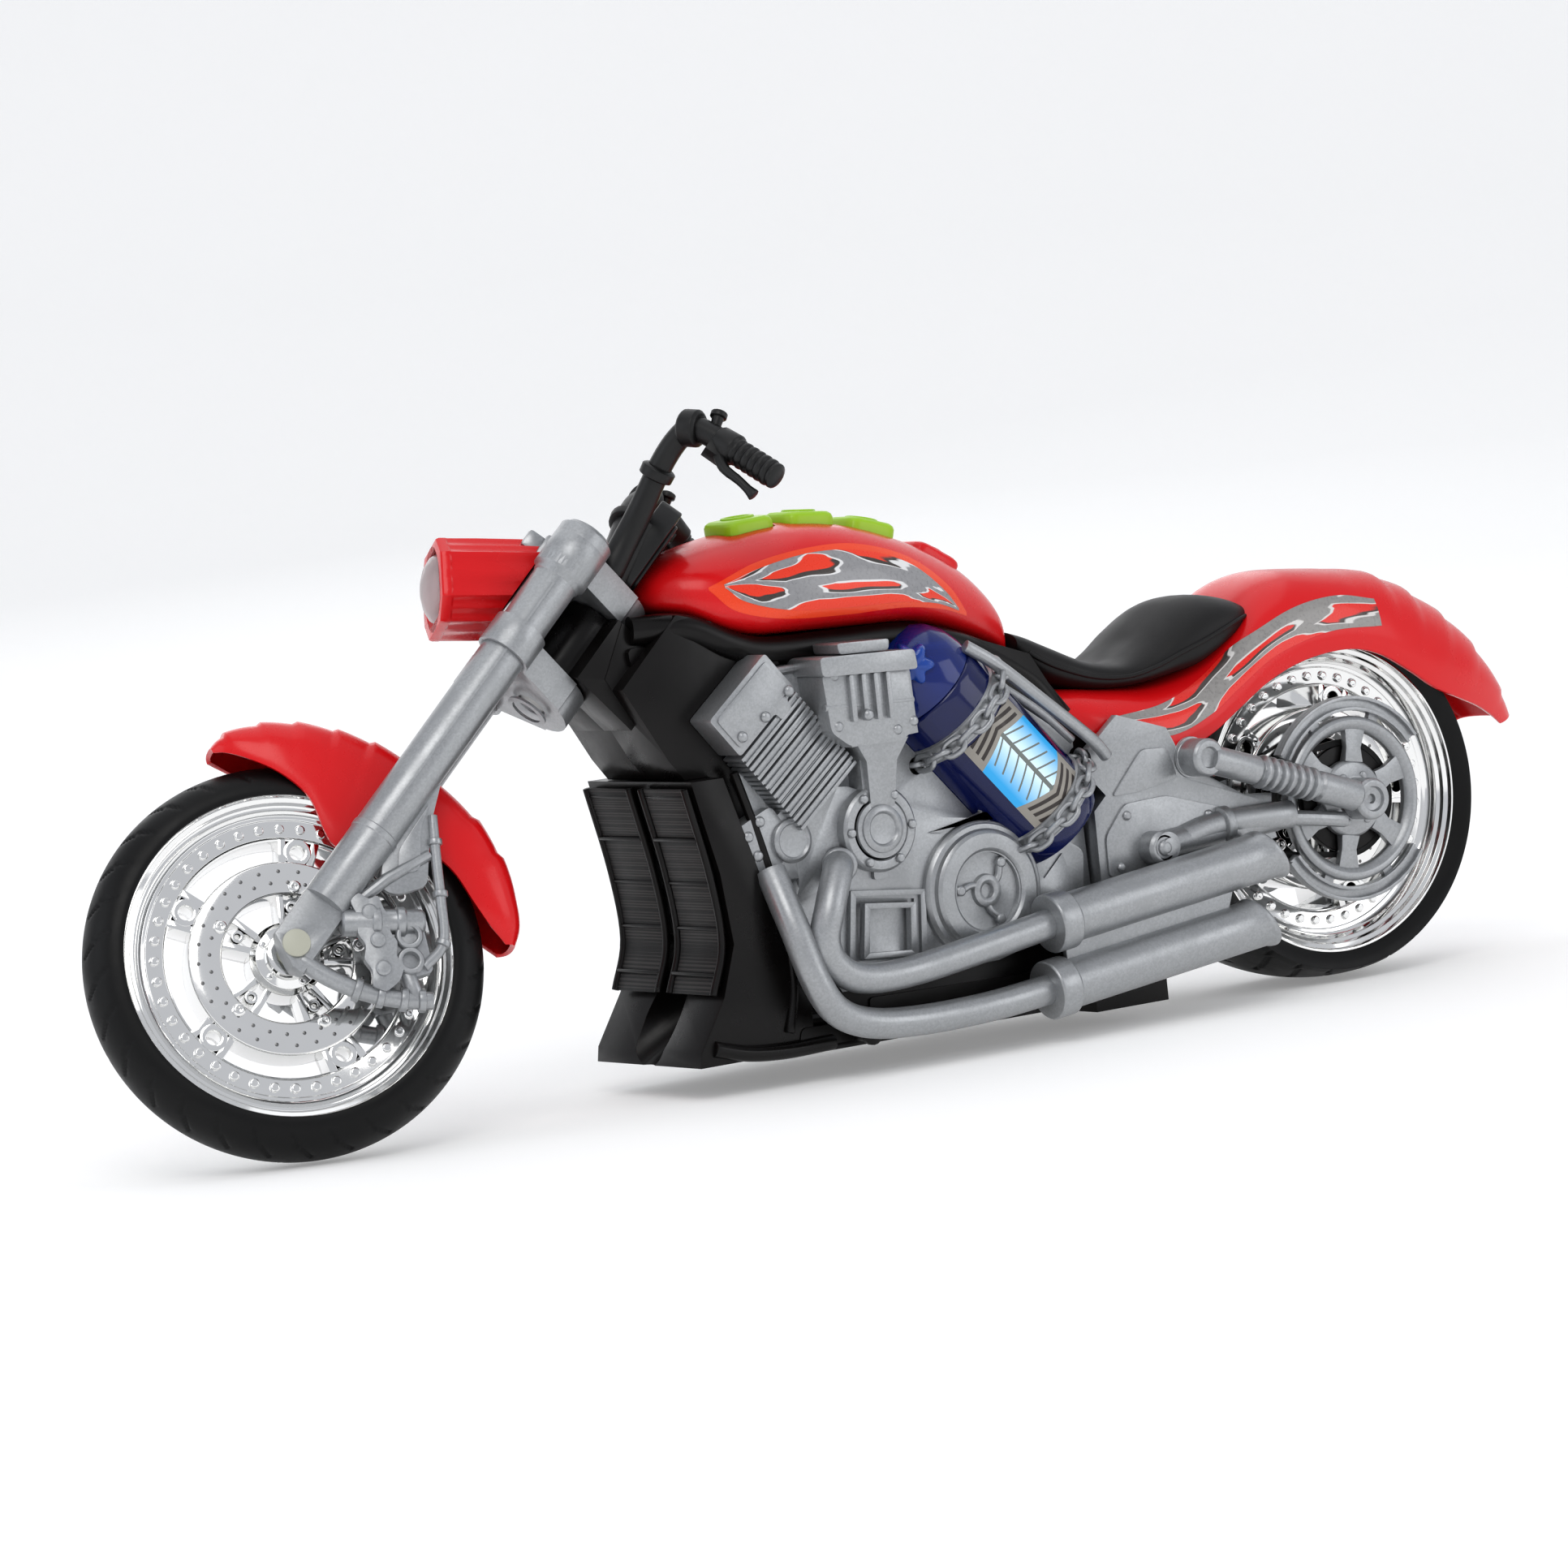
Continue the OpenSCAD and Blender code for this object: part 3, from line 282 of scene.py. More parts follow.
# ---------------------------------------------------------------- pieces
def linked(name, data):
    """A new object of this data, in the scene."""
    obj = bpy.data.objects.new(name, data)
    bpy.context.scene.collection.objects.link(obj)
    return obj


def shade(obj, degrees):
    """Smooth shading, with edges sharper than the angle left sharp."""
    obj.data.shade_smooth()
    obj.data.set_sharp_from_angle(angle=math.radians(degrees))


def baked(obj):
    """The object, with its modifiers applied to its mesh."""
    bpy.context.view_layer.update()
    dg = bpy.context.evaluated_depsgraph_get()
    made = bpy.data.meshes.new_from_object(obj.evaluated_get(dg), depsgraph=dg)
    obj.modifiers.clear()
    obj.data = made
    return obj


def soften(obj, width, smooth=SHARP_ANGLE):
    """Rounds the edges, shades the rest smooth and bakes the result."""
    if width:
        bevel = obj.modifiers.new("Moulded edges", "BEVEL")
        bevel.width = width * MM
        bevel.segments = 2
        bevel.limit_method = "ANGLE"
        bevel.angle_limit = math.radians(BEVEL_ANGLE)
        bevel.miter_outer = "MITER_ARC"
        bevel.harden_normals = False
    baked(obj)
    shade(obj, smooth)
    return obj


def piece(name, form, place, body, finishes, replaces=(), slot=None, bevel=0.0, smooth=SHARP_ANGLE,
          cut=None):
    """Makes one finished piece and lets it ride on its body."""
    me = form.mesh(name, FRAMES[place] if isinstance(place, str) else place)
    obj = linked(name, me)
    for key in finishes:
        me.materials.append(FINISH[key])
    if cut is not None:
        knife = linked(name + "_knife", cut.mesh("knife", FRAMES[place]))
        mod = obj.modifiers.new("Openings", "BOOLEAN")
        mod.operation, mod.solver, mod.object = "DIFFERENCE", "EXACT", knife
        baked(obj)
        bpy.data.objects.remove(knife)
    soften(obj, bevel, smooth)
    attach(obj, body)
    if replaces:
        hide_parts(*replaces)
    return obj


def both_sides(name, form, place, body, finishes, replaces=(), **more):
    """The piece on the left side and its mirror image on the right."""
    out = []
    for side, turn in SIDES.items():
        nodes = replaces[side] if isinstance(replaces, dict) else [n.replace("SIDE", side) for n in replaces]
        out.append(piece(f"{name}_{side}", form, FRAMES[place] @ turn, body, finishes, nodes, **more))
    return out


def refined(node, finish, width=0.25, extra=None, place=None):
    """A CAD node's own shape with moulded edges, in its place; extra is a form joined to it."""
    source = frame["nodes"][node]
    bm = bmesh.new()
    bm.from_mesh(source.data)
    bmesh.ops.remove_doubles(bm, verts=bm.verts, dist=1e-6)
    bmesh.ops.dissolve_limit(bm, angle_limit=math.radians(1.0), verts=bm.verts, edges=bm.edges)
    me = bpy.data.meshes.new(node + "_finished")
    bm.to_mesh(me)
    bm.free()
    obj = linked(node + "_finished", me)
    me.materials.clear()
    me.materials.append(finish)
    me.polygons.foreach_set("material_index", [0] * len(me.polygons))
    soften(obj, width)
    if extra is not None:
        bm = bmesh.new()
        bm.from_mesh(obj.data)
        add = extra.mesh("extra", FRAMES[place] if isinstance(place, str) else place)
        bm.from_mesh(add)
        bm.to_mesh(obj.data)
        bm.free()
        shade(obj, SHARP_ANGLE)
    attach(obj, source["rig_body"])
    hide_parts(node)
    return obj


# ---------------------------------------------------------------- repeating pieces
def tree_of(name, inputs):
    """An empty node tree with its named inputs, and its two end nodes."""
    tree = bpy.data.node_groups.new(name, "GeometryNodeTree")
    tree.interface.new_socket("Geometry", in_out="INPUT", socket_type="NodeSocketGeometry")
    for label, kind in inputs:
        tree.interface.new_socket(label, in_out="INPUT", socket_type=kind)
    tree.interface.new_socket("Geometry", in_out="OUTPUT", socket_type="NodeSocketGeometry")
    return tree, tree.nodes.new("NodeGroupInput"), tree.nodes.new("NodeGroupOutput")


def finish_tree(tree, start, end, instances):
    """Realizes the instances and gives them their material."""
    real = tree.nodes.new("GeometryNodeRealizeInstances")
    paint = tree.nodes.new("GeometryNodeSetMaterial")
    tree.links.new(instances, real.inputs["Geometry"])
    tree.links.new(real.outputs["Geometry"], paint.inputs["Geometry"])
    tree.links.new(start.outputs["Material"], paint.inputs["Material"])
    tree.links.new(paint.outputs["Geometry"], end.inputs["Geometry"])
    return tree


def ring_tree():
    """Copies of a part round a circle, each turned to its place."""
    tree, start, end = tree_of("Ring of parts", [
        ("Count", "NodeSocketInt"), ("Radius", "NodeSocketFloat"), ("Material", "NodeSocketMaterial")])
    new, link = tree.nodes.new, tree.links.new
    ring = new("GeometryNodeMeshCircle")
    link(start.outputs["Count"], ring.inputs["Vertices"])
    link(start.outputs["Radius"], ring.inputs["Radius"])
    turn = new("ShaderNodeMath")
    turn.operation = "DIVIDE"
    turn.inputs[0].default_value = 2 * math.pi
    link(start.outputs["Count"], turn.inputs[1])
    angle = new("ShaderNodeMath")
    angle.operation = "MULTIPLY"
    link(new("GeometryNodeInputIndex").outputs["Index"], angle.inputs[0])
    link(turn.outputs[0], angle.inputs[1])
    euler = new("ShaderNodeCombineXYZ")
    link(angle.outputs[0], euler.inputs["Z"])
    put = new("GeometryNodeInstanceOnPoints")
    link(ring.outputs["Mesh"], put.inputs["Points"])
    link(start.outputs["Geometry"], put.inputs["Instance"])
    link(euler.outputs["Vector"], put.inputs["Rotation"])
    return finish_tree(tree, start, end, put.outputs["Instances"])


def row_tree():
    """Copies of a part in a straight row."""
    tree, start, end = tree_of("Row of parts", [
        ("Count", "NodeSocketInt"), ("Step", "NodeSocketVector"), ("Material", "NodeSocketMaterial")])
    new, link = tree.nodes.new, tree.links.new
    row = new("GeometryNodeMeshLine")
    link(start.outputs["Count"], row.inputs["Count"])
    link(start.outputs["Step"], row.inputs["Offset"])
    put = new("GeometryNodeInstanceOnPoints")
    link(row.outputs["Mesh"], put.inputs["Points"])
    link(start.outputs["Geometry"], put.inputs["Instance"])
    return finish_tree(tree, start, end, put.outputs["Instances"])


def chain_tree():
    """Links along a path, each a quarter turn from the last."""
    tree, start, end = tree_of("Chain of links", [
        ("Path", "NodeSocketObject"), ("Links", "NodeSocketInt"), ("Material", "NodeSocketMaterial")])
    new, link = tree.nodes.new, tree.links.new
    path = new("GeometryNodeObjectInfo")
    link(start.outputs["Path"], path.inputs["Object"])
    points = new("GeometryNodeCurveToPoints")
    points.mode = "COUNT"
    link(path.outputs["Geometry"], points.inputs["Curve"])
    link(start.outputs["Links"], points.inputs["Count"])
    odd = new("ShaderNodeMath")
    odd.operation = "MODULO"
    odd.inputs[1].default_value = 2.0
    link(new("GeometryNodeInputIndex").outputs["Index"], odd.inputs[0])
    quarter = new("ShaderNodeMath")
    quarter.operation = "MULTIPLY"
    quarter.inputs[1].default_value = math.pi / 2
    link(odd.outputs[0], quarter.inputs[0])
    spin = new("ShaderNodeCombineXYZ")
    link(quarter.outputs[0], spin.inputs["Z"])
    turn = new("FunctionNodeRotateRotation")
    turn.rotation_space = "LOCAL"
    link(points.outputs["Rotation"], turn.inputs["Rotation"])
    link(spin.outputs["Vector"], turn.inputs["Rotate By"])
    put = new("GeometryNodeInstanceOnPoints")
    link(points.outputs["Points"], put.inputs["Points"])
    link(start.outputs["Geometry"], put.inputs["Instance"])
    link(turn.outputs["Rotation"], put.inputs["Rotation"])
    return finish_tree(tree, start, end, put.outputs["Instances"])


def round_copies(part, count, radius, key, slot=0):
    """Copies of a part round a circle, all of one finish."""
    return repeated(TREES["ring"], part, {"Count": count, "Radius": radius, "Material": FINISH[key]}, slot)


def repeated(tree, part, inputs, slot=0):
    """A form with the copies that a tree makes of one part."""
    obj = linked("part", part.mesh("part", Matrix.Identity(4)))
    mod = obj.modifiers.new("Repeat", "NODES")
    mod.node_group = tree
    names = {s.name: s.identifier for s in tree.interface.items_tree if s.in_out == "INPUT"}
    for label, value in inputs.items():
        mod[names[label]] = value
    baked(obj)
    out = Form()
    out.add([v.co.copy() for v in obj.data.vertices], [list(p.vertices) for p in obj.data.polygons], slot)
    bpy.data.objects.remove(obj)
    return out


# ---------------------------------------------------------------- finishes
def finish_base(name):
    mat = bpy.data.materials.new(name)
    mat.use_nodes = True
    nodes, link = mat.node_tree.nodes, mat.node_tree.links.new
    shader = nodes["Principled BSDF"]
    place = nodes.new("ShaderNodeTexCoord")
    return mat, nodes, link, shader, place


def noise_node(nodes, link, vector, scale, detail=3.0, rough=0.5, distortion=0.0):
    n = nodes.new("ShaderNodeTexNoise")
    n.inputs["Scale"].default_value = scale
    n.inputs["Detail"].default_value = detail
    n.inputs["Roughness"].default_value = rough
    n.inputs["Distortion"].default_value = distortion
    link(vector, n.inputs["Vector"])
    return n.outputs["Fac"]


def spread(nodes, link, value, low, high, from_low=0.35, from_high=0.65):
    m = nodes.new("ShaderNodeMapRange")
    for key, v in (("From Min", from_low), ("From Max", from_high), ("To Min", low), ("To Max", high)):
        m.inputs[key].default_value = v
    link(value, m.inputs["Value"])
    return m.outputs["Result"]


def blend_colours(nodes, link, factor, a, b):
    """Mixes two colours, each a value or a socket."""
    m = nodes.new("ShaderNodeMix")
    m.data_type = "RGBA"
    link(factor, m.inputs["Factor"])
    for socket, c in ((m.inputs["A"], a), (m.inputs["B"], b)):
        if hasattr(c, "links"):
            link(c, socket)
        else:
            socket.default_value = (*c, 1)
    return m.outputs["Result"]


def bump_node(nodes, link, shader, height, strength, distance):
    b = nodes.new("ShaderNodeBump")
    b.inputs["Strength"].default_value = strength
    b.inputs["Distance"].default_value = distance
    link(height, b.inputs["Height"])
    link(b.outputs["Normal"], shader.inputs["Normal"])


def moulded(name, colour, rough=(0.3, 0.4), grain=900.0, depth=0.00002, shade=0.12, coat=0.0, specular=0.5,
            glow=0.0):
    """Moulded plastic: fine surface grain, faint colour flow and uneven gloss."""
    mat, nodes, link, shader, place = finish_base(name)
    at = place.outputs["Object"]
    flow = noise_node(nodes, link, at, 28.0, 4.0, 0.55, 1.2)
    dark = tuple(c * (1 - shade) for c in colour)
    light = tuple(min(1, c * (1 + shade * 0.5)) for c in colour)
    link(blend_colours(nodes, link, flow, dark, light), shader.inputs["Base Color"])
    fine = noise_node(nodes, link, at, grain, 2.0)
    smudge = noise_node(nodes, link, at, 90.0, 5.0, 0.65)
    link(spread(nodes, link, smudge, *rough), shader.inputs["Roughness"])
    bump_node(nodes, link, shader, fine, 0.25, depth)
    shader.inputs["Coat Weight"].default_value = coat
    shader.inputs["Coat Roughness"].default_value = 0.12
    shader.inputs["Specular IOR Level"].default_value = specular
    shader.inputs["Emission Color"].default_value = (1, 1, 1, 1)
    shader.inputs["Emission Strength"].default_value = glow
    return mat


def flaked(name, colour):
    """Silver plastic with metal flake and the darker flow lines it sets with."""
    mat, nodes, link, shader, place = finish_base(name)
    at = place.outputs["Object"]
    flake = nodes.new("ShaderNodeTexVoronoi")
    flake.inputs["Scale"].default_value = 2600.0
    link(at, flake.inputs["Vector"])
    grey = nodes.new("ShaderNodeSeparateColor")
    link(flake.outputs["Color"], grey.inputs["Color"])
    dark, light = tuple(c * 0.93 for c in colour), tuple(min(1, c * 1.07) for c in colour)
    speckle = blend_colours(nodes, link, grey.outputs["Red"], dark, light)
    flow = noise_node(nodes, link, at, 34.0, 5.0, 0.6, 3.5)
    lines = spread(nodes, link, flow, 0.0, 0.5, 0.56, 0.6)
    link(blend_colours(nodes, link, lines, speckle, tuple(c * 0.93 for c in colour)),
         shader.inputs["Base Color"])
    link(spread(nodes, link, noise_node(nodes, link, at, 120.0, 4.0), 0.3, 0.44), shader.inputs["Roughness"])
    shader.inputs["Metallic"].default_value = 0.7
    shader.inputs["Specular IOR Level"].default_value = 0.5
    bump_node(nodes, link, shader, grey.outputs["Green"], 0.08, 0.00001)
    return mat


def plated(name, colour=(0.9, 0.9, 0.89), rough=(0.05, 0.1)):
    """Bright vacuum plating over plastic that is slightly wavy."""
    mat, nodes, link, shader, place = finish_base(name)
    at = place.outputs["Object"]
    haze = noise_node(nodes, link, at, 60.0, 4.0, 0.6)
    link(blend_colours(nodes, link, haze, tuple(c * 0.93 for c in colour), colour),
         shader.inputs["Base Color"])
    link(spread(nodes, link, haze, *rough), shader.inputs["Roughness"])
    shader.inputs["Metallic"].default_value = 1.0
    bump_node(nodes, link, shader, noise_node(nodes, link, at, 160.0, 2.0), 0.25, 0.00008)
    return mat


def tinted(name, colour, clear=0.75, rough=(0.08, 0.16), glow=0.0):
    """Clear plastic in a tint, with faint flow streaks."""
    mat, nodes, link, shader, place = finish_base(name)
    at = place.outputs["Object"]
    streak = noise_node(nodes, link, at, 55.0, 4.0, 0.5, 2.0)
    deep = tuple(c * 0.55 for c in colour)
    link(blend_colours(nodes, link, streak, deep, colour), shader.inputs["Base Color"])
    link(spread(nodes, link, noise_node(nodes, link, at, 200.0), *rough), shader.inputs["Roughness"])
    shader.inputs["Transmission Weight"].default_value = clear
    shader.inputs["IOR"].default_value = 1.47
    shader.inputs["Coat Weight"].default_value = 0.4
    if glow:
        shader.inputs["Emission Color"].default_value = (*colour, 1)
        shader.inputs["Emission Strength"].default_value = glow
    bump_node(nodes, link, shader, streak, 0.1, 0.0001)
    return mat


def printed_web(name, base, web, shadow, edge, scale=6.0, stretch=2.2, band=None):
    """A printed panel: a silver web with open cells, dark shadows beside it and pale outlines."""
    mat, nodes, link, shader, place = finish_base(name)
    squeeze = nodes.new("ShaderNodeMapping")
    squeeze.inputs["Scale"].default_value = (scale, scale * stretch * 0.42, 1)
    squeeze.inputs["Rotation"].default_value = (0, 0, 0.5)
    link(place.outputs["UV"], squeeze.inputs["Vector"])
    warp = nodes.new("ShaderNodeTexNoise")
    warp.inputs["Scale"].default_value = 1.1
    link(squeeze.outputs["Vector"], warp.inputs["Vector"])
    push = nodes.new("ShaderNodeVectorMath")
    push.operation = "MULTIPLY_ADD"
    push.inputs[1].default_value = (0.9, 0.9, 0)
    link(warp.outputs["Color"], push.inputs[0])
    link(squeeze.outputs["Vector"], push.inputs[2])
    cells = nodes.new("ShaderNodeTexVoronoi")
    cells.feature = "DISTANCE_TO_EDGE"
    cells.inputs["Scale"].default_value = 1.0
    link(push.outputs["Vector"], cells.inputs["Vector"])
    shifted = nodes.new("ShaderNodeVectorMath")
    shifted.inputs[1].default_value = (0.13, -0.1, 0)
    link(push.outputs["Vector"], shifted.inputs[0])
    behind = nodes.new("ShaderNodeTexVoronoi")
    behind.feature = "DISTANCE_TO_EDGE"
    behind.inputs["Scale"].default_value = 1.0
    link(shifted.outputs["Vector"], behind.inputs["Vector"])
    d, e = cells.outputs["Distance"], behind.outputs["Distance"]
    colour = blend_colours(nodes, link, spread(nodes, link, e, 1, 0, 0.13, 0.15), base, shadow)
    colour = blend_colours(nodes, link, spread(nodes, link, d, 1, 0, 0.155, 0.165), colour, edge)
    speck = noise_node(nodes, link, place.outputs["Object"], 1400.0, 2.0)
    silver = blend_colours(nodes, link, speck, tuple(c * 0.8 for c in web),
                           tuple(min(1, c * 1.2) for c in web))
    colour = blend_colours(nodes, link, spread(nodes, link, d, 1, 0, 0.12, 0.13), colour, silver)
    if band:
        # The outer strip of the panel, printed in a second colour
        parts = nodes.new("ShaderNodeSeparateXYZ")
        link(place.outputs["UV"], parts.inputs["Vector"])
        rim = spread(nodes, link, parts.outputs["Y"], 0, 1, band[1], band[1] + 0.015)
        colour = blend_colours(nodes, link, rim, colour, band[0])
    link(colour, shader.inputs["Base Color"])
    link(spread(nodes, link, speck, 0.26, 0.36), shader.inputs["Roughness"])
    shader.inputs["Coat Weight"].default_value = 0.3
    bump_node(nodes, link, shader, speck, 0.05, 0.00001)
    return mat


def seat_grain(name, colour):
    """Soft black plastic with a fine leather grain."""
    mat, nodes, link, shader, place = finish_base(name)
    at = place.outputs["Object"]
    cells = nodes.new("ShaderNodeTexVoronoi")
    cells.feature = "DISTANCE_TO_EDGE"
    cells.inputs["Scale"].default_value = 900.0
    link(at, cells.inputs["Vector"])
    flow = noise_node(nodes, link, at, 40.0)
    link(blend_colours(nodes, link, flow, tuple(c * 0.8 for c in colour), tuple(c * 1.25 for c in colour)),
         shader.inputs["Base Color"])
    link(spread(nodes, link, noise_node(nodes, link, at, 70.0), 0.42, 0.54), shader.inputs["Roughness"])
    shader.inputs["Specular IOR Level"].default_value = 0.4
    bump_node(nodes, link, shader, cells.outputs["Distance"], 0.2, 0.00004)
    return mat


def mesh_screen(name):
    """Black plastic moulded as a fine woven screen."""
    mat, nodes, link, shader, place = finish_base(name)
    at = place.outputs["Object"]
    checks = nodes.new("ShaderNodeTexBrick")
    checks.inputs["Scale"].default_value = 520.0
    checks.inputs["Color1"].default_value = (0.035, 0.032, 0.031, 1)
    checks.inputs["Color2"].default_value = (0.045, 0.042, 0.04, 1)
    checks.inputs["Mortar"].default_value = (0.006, 0.006, 0.006, 1)
    checks.inputs["Mortar Size"].default_value = 0.06
    turn = nodes.new("ShaderNodeMapping")
    turn.inputs["Rotation"].default_value = (math.pi / 2, 0, 0.6)
    link(at, turn.inputs["Vector"])
    link(turn.outputs["Vector"], checks.inputs["Vector"])
    link(checks.outputs["Color"], shader.inputs["Base Color"])
    link(spread(nodes, link, noise_node(nodes, link, at, 80.0), 0.5, 0.62), shader.inputs["Roughness"])
    bump_node(nodes, link, shader, checks.outputs["Fac"], 0.8, 0.0002)
    return mat


def label_print_with_painted_glow(name):
    """The canister's label: a printed pale blue glow, a grey fish-bone and dark chevrons at both ends, all
    also given off faintly as painted light.
    """
    mat, nodes, link, shader, place = finish_base(name)
    parts = nodes.new("ShaderNodeSeparateXYZ")
    link(place.outputs["UV"], parts.inputs["Vector"])

    def math_node(kind, a, b=0.0):
        m = nodes.new("ShaderNodeMath")
        m.operation = kind
        for socket, v in zip(m.inputs, (a, b)):
            if hasattr(v, "links"):
                link(v, socket)
            else:
                socket.default_value = v
        return m.outputs[0]

    u, v = parts.outputs["X"], parts.outputs["Y"]
    off = math_node("ABSOLUTE", math_node("SUBTRACT", v, 0.5))
    sky = blend_colours(nodes, link, spread(nodes, link, off, 0, 1, 0.02, 0.42), (0.75, 0.93, 1.0),
                        (0.03, 0.42, 0.85))
    # Ribs that slant away from the middle line
    slant = math_node("ADD", u, math_node("MULTIPLY", off, -0.38))
    rib = math_node("ABSOLUTE",
                    math_node("SUBTRACT", math_node("FRACT", math_node("MULTIPLY", slant, 9.0)), 0.5))
    ribs = math_node("MULTIPLY", math_node("LESS_THAN", rib, 0.085), math_node("LESS_THAN", off, 0.34))
    spine = math_node("LESS_THAN", off, 0.03)
    colour = blend_colours(nodes, link, math_node("MAXIMUM", ribs, spine), sky, (0.16, 0.18, 0.17))
    end = math_node("ABSOLUTE", math_node("SUBTRACT", u, 0.5))
    inner = math_node("ADD", end, math_node("MULTIPLY", off, 0.25))
    colour = blend_colours(nodes, link, math_node("GREATER_THAN", inner, 0.36), colour, (0.3, 0.28, 0.25))
    chevron = math_node("ABSOLUTE",
                        math_node("SUBTRACT", math_node("FRACT", math_node("MULTIPLY", inner, 13.0)), 0.5))
    dark = math_node("MULTIPLY", math_node("LESS_THAN", chevron, 0.24),
                     math_node("GREATER_THAN", inner, 0.385))
    dark = math_node("MULTIPLY", dark, math_node("LESS_THAN", off, 0.4))
    colour = blend_colours(nodes, link, dark, colour, (0.035, 0.027, 0.024))
    link(colour, shader.inputs["Base Color"])
    fine = noise_node(nodes, link, place.outputs["Object"], 500.0)
    link(spread(nodes, link, fine, 0.3, 0.4), shader.inputs["Roughness"])
    # The label gives off its own colours as a faint glow: painted light, though the label is no lamp
    link(colour, shader.inputs["Emission Color"])
    shader.inputs["Emission Strength"].default_value = 0.12
    shader.inputs["Coat Weight"].default_value = 0.3
    bump_node(nodes, link, shader, fine, 0.05, 0.00001)
    return mat


FINISH = {}
TREES = {}


def make_finishes(look):
    """All finishes, from the colours in the panel."""
    FINISH.update(
        red=moulded("Glossy red plastic", tuple(look.red), (0.2, 0.32), 700.0, 0.00001, 0.06, 0.2, 0.4),
        fender_red=moulded("Glossy red fender", tuple(look.red), (0.2, 0.3), 600.0, 0.00001, 0.05, 0.2, 0.4),
        lime=moulded("Lime button", tuple(look.lime), (0.3, 0.42), 800.0, 0.00001, 0.06, 0.1),
        black=moulded("Satin black plastic", (0.006, 0.005, 0.0048), (0.26, 0.38), 1100.0, 0.00002, 0.2, 0.0,
                      0.34),
        bar=moulded("Soft black bar", (0.008, 0.008, 0.008), (0.34, 0.46), 1300.0, 0.00003, 0.2),
        rubber=moulded("Tyre rubber", (0.006, 0.006, 0.0062), (0.38, 0.52), 1500.0, 0.00004, 0.25, 0.0, 0.3),
        belt=moulded("Ribbed belt rubber", (0.014, 0.014, 0.014), (0.5, 0.65), 1500.0, 0.00004, 0.2, 0.0,
                     0.3),
        silver=flaked("Silver flake plastic", tuple(look.silver)),
        plated=plated("Bright plating"),
        # Dark plating on the small dots that stand for the wheel's holes: painted shade where the holes
        # would be
        pit=plated("Plating darkened as painted hole shade", (0.22, 0.22, 0.22), (0.3, 0.4)),
        steel=plated("Plain steel", (0.55, 0.55, 0.54), (0.25, 0.38)),
        brass=plated("Cell jacket", (0.6, 0.43, 0.16), (0.3, 0.4)),
        pin=moulded("Pale pin head", (0.5, 0.5, 0.42), (0.3, 0.4), 900.0, 0.00002, 0.1),
        blue=tinted("Blue tinted canister", tuple(look.blue), 0.5),
        dome=tinted("Lighter blue dome", (0.01, 0.05, 0.42), 0.55),
        knob=tinted("Bright blue knob", (0.02, 0.12, 0.62), 0.35),
        lens=tinted("Frosted lens", (0.92, 0.78, 0.78), 0.55, (0.3, 0.42)),
        lamp=tinted("Clear lamp", (0.95, 0.93, 0.85), 0.8, (0.03, 0.08)),
        board=moulded("Green circuit board", (0.01, 0.12, 0.04), (0.25, 0.35), 900.0, 0.00001, 0.2, 0.3),
        screen=mesh_screen("Woven screen"),
        seat=seat_grain("Fine grained seat", (0.011, 0.0105, 0.0105)),
        label=label_print_with_painted_glow("Canister label"),
        tank_print=printed_web("Tank print", (0.86, 0.05, 0.015), (0.3, 0.3, 0.31), (0.06, 0.05, 0.045),
                               (0.8, 0.8, 0.8),
                               2.7, 2.0),
        fender_print=printed_web("Fender print", (0.78, 0.03, 0.02), (0.3, 0.29, 0.28), (0.07, 0.055, 0.05),
                                 (0.72, 0.7, 0.68), 2.5, 1.6),
        orange=moulded("Orange printed band", (0.9, 0.07, 0.012), (0.22, 0.3), 900.0, 0.00001, 0.05, 0.3),
        paper=moulded("Pale floor", (0.82, 0.82, 0.815), (0.8, 0.9), 60.0, 0.0002, 0.01, 0.0, 0.1, 0.22),
    )


# ---------------------------------------------------------------- wheels
def tyre_form(crown, bow, radius, seat, sipes, groove=0.55):
    """A tyre's outside: section half width, crown bow, outer radius, bead radius and count of sipes."""
    form = Form()
    rows = 34
    section = []
    for i in range(rows + 1):
        a = math.pi * (i / rows - 0.5)
        y = crown * math.sin(a)
        r = radius - bow + bow * math.cos(a)
        section.append((r, y, i / rows * 2 - 1))
    inner = [(seat, section[-1][1] * 0.98), (seat - 0.6, 0), (seat, section[0][1] * 0.98)]
    turns = sipes * 16
    verts = []
    for k in range(turns):
        a = 2 * math.pi * k / turns
        ring = []
        for r, y, t in section:
            bend = abs(t) ** 1.6 * 0.9 + 0.06 * math.sin(t * 9)
            phase = (a * sipes / (2 * math.pi) + (0.5 if t > 0 else 0) + bend) % 1.0
            cut = groove if phase < 0.07 and 0.12 < abs(t) < 0.74 else 0.0
            rim = 0.25 if 0.79 < abs(t) < 0.82 else 0.0
            ring.append(((r - (cut + rim) * 0.9) * math.cos(a), y, (r - cut * 0.9) * math.sin(a)))
        ring += [(r * math.cos(a), y, r * math.sin(a)) for r, y in inner]
        verts.append(ring)
    return form.loft([v[::-1] for v in verts], closed=True)


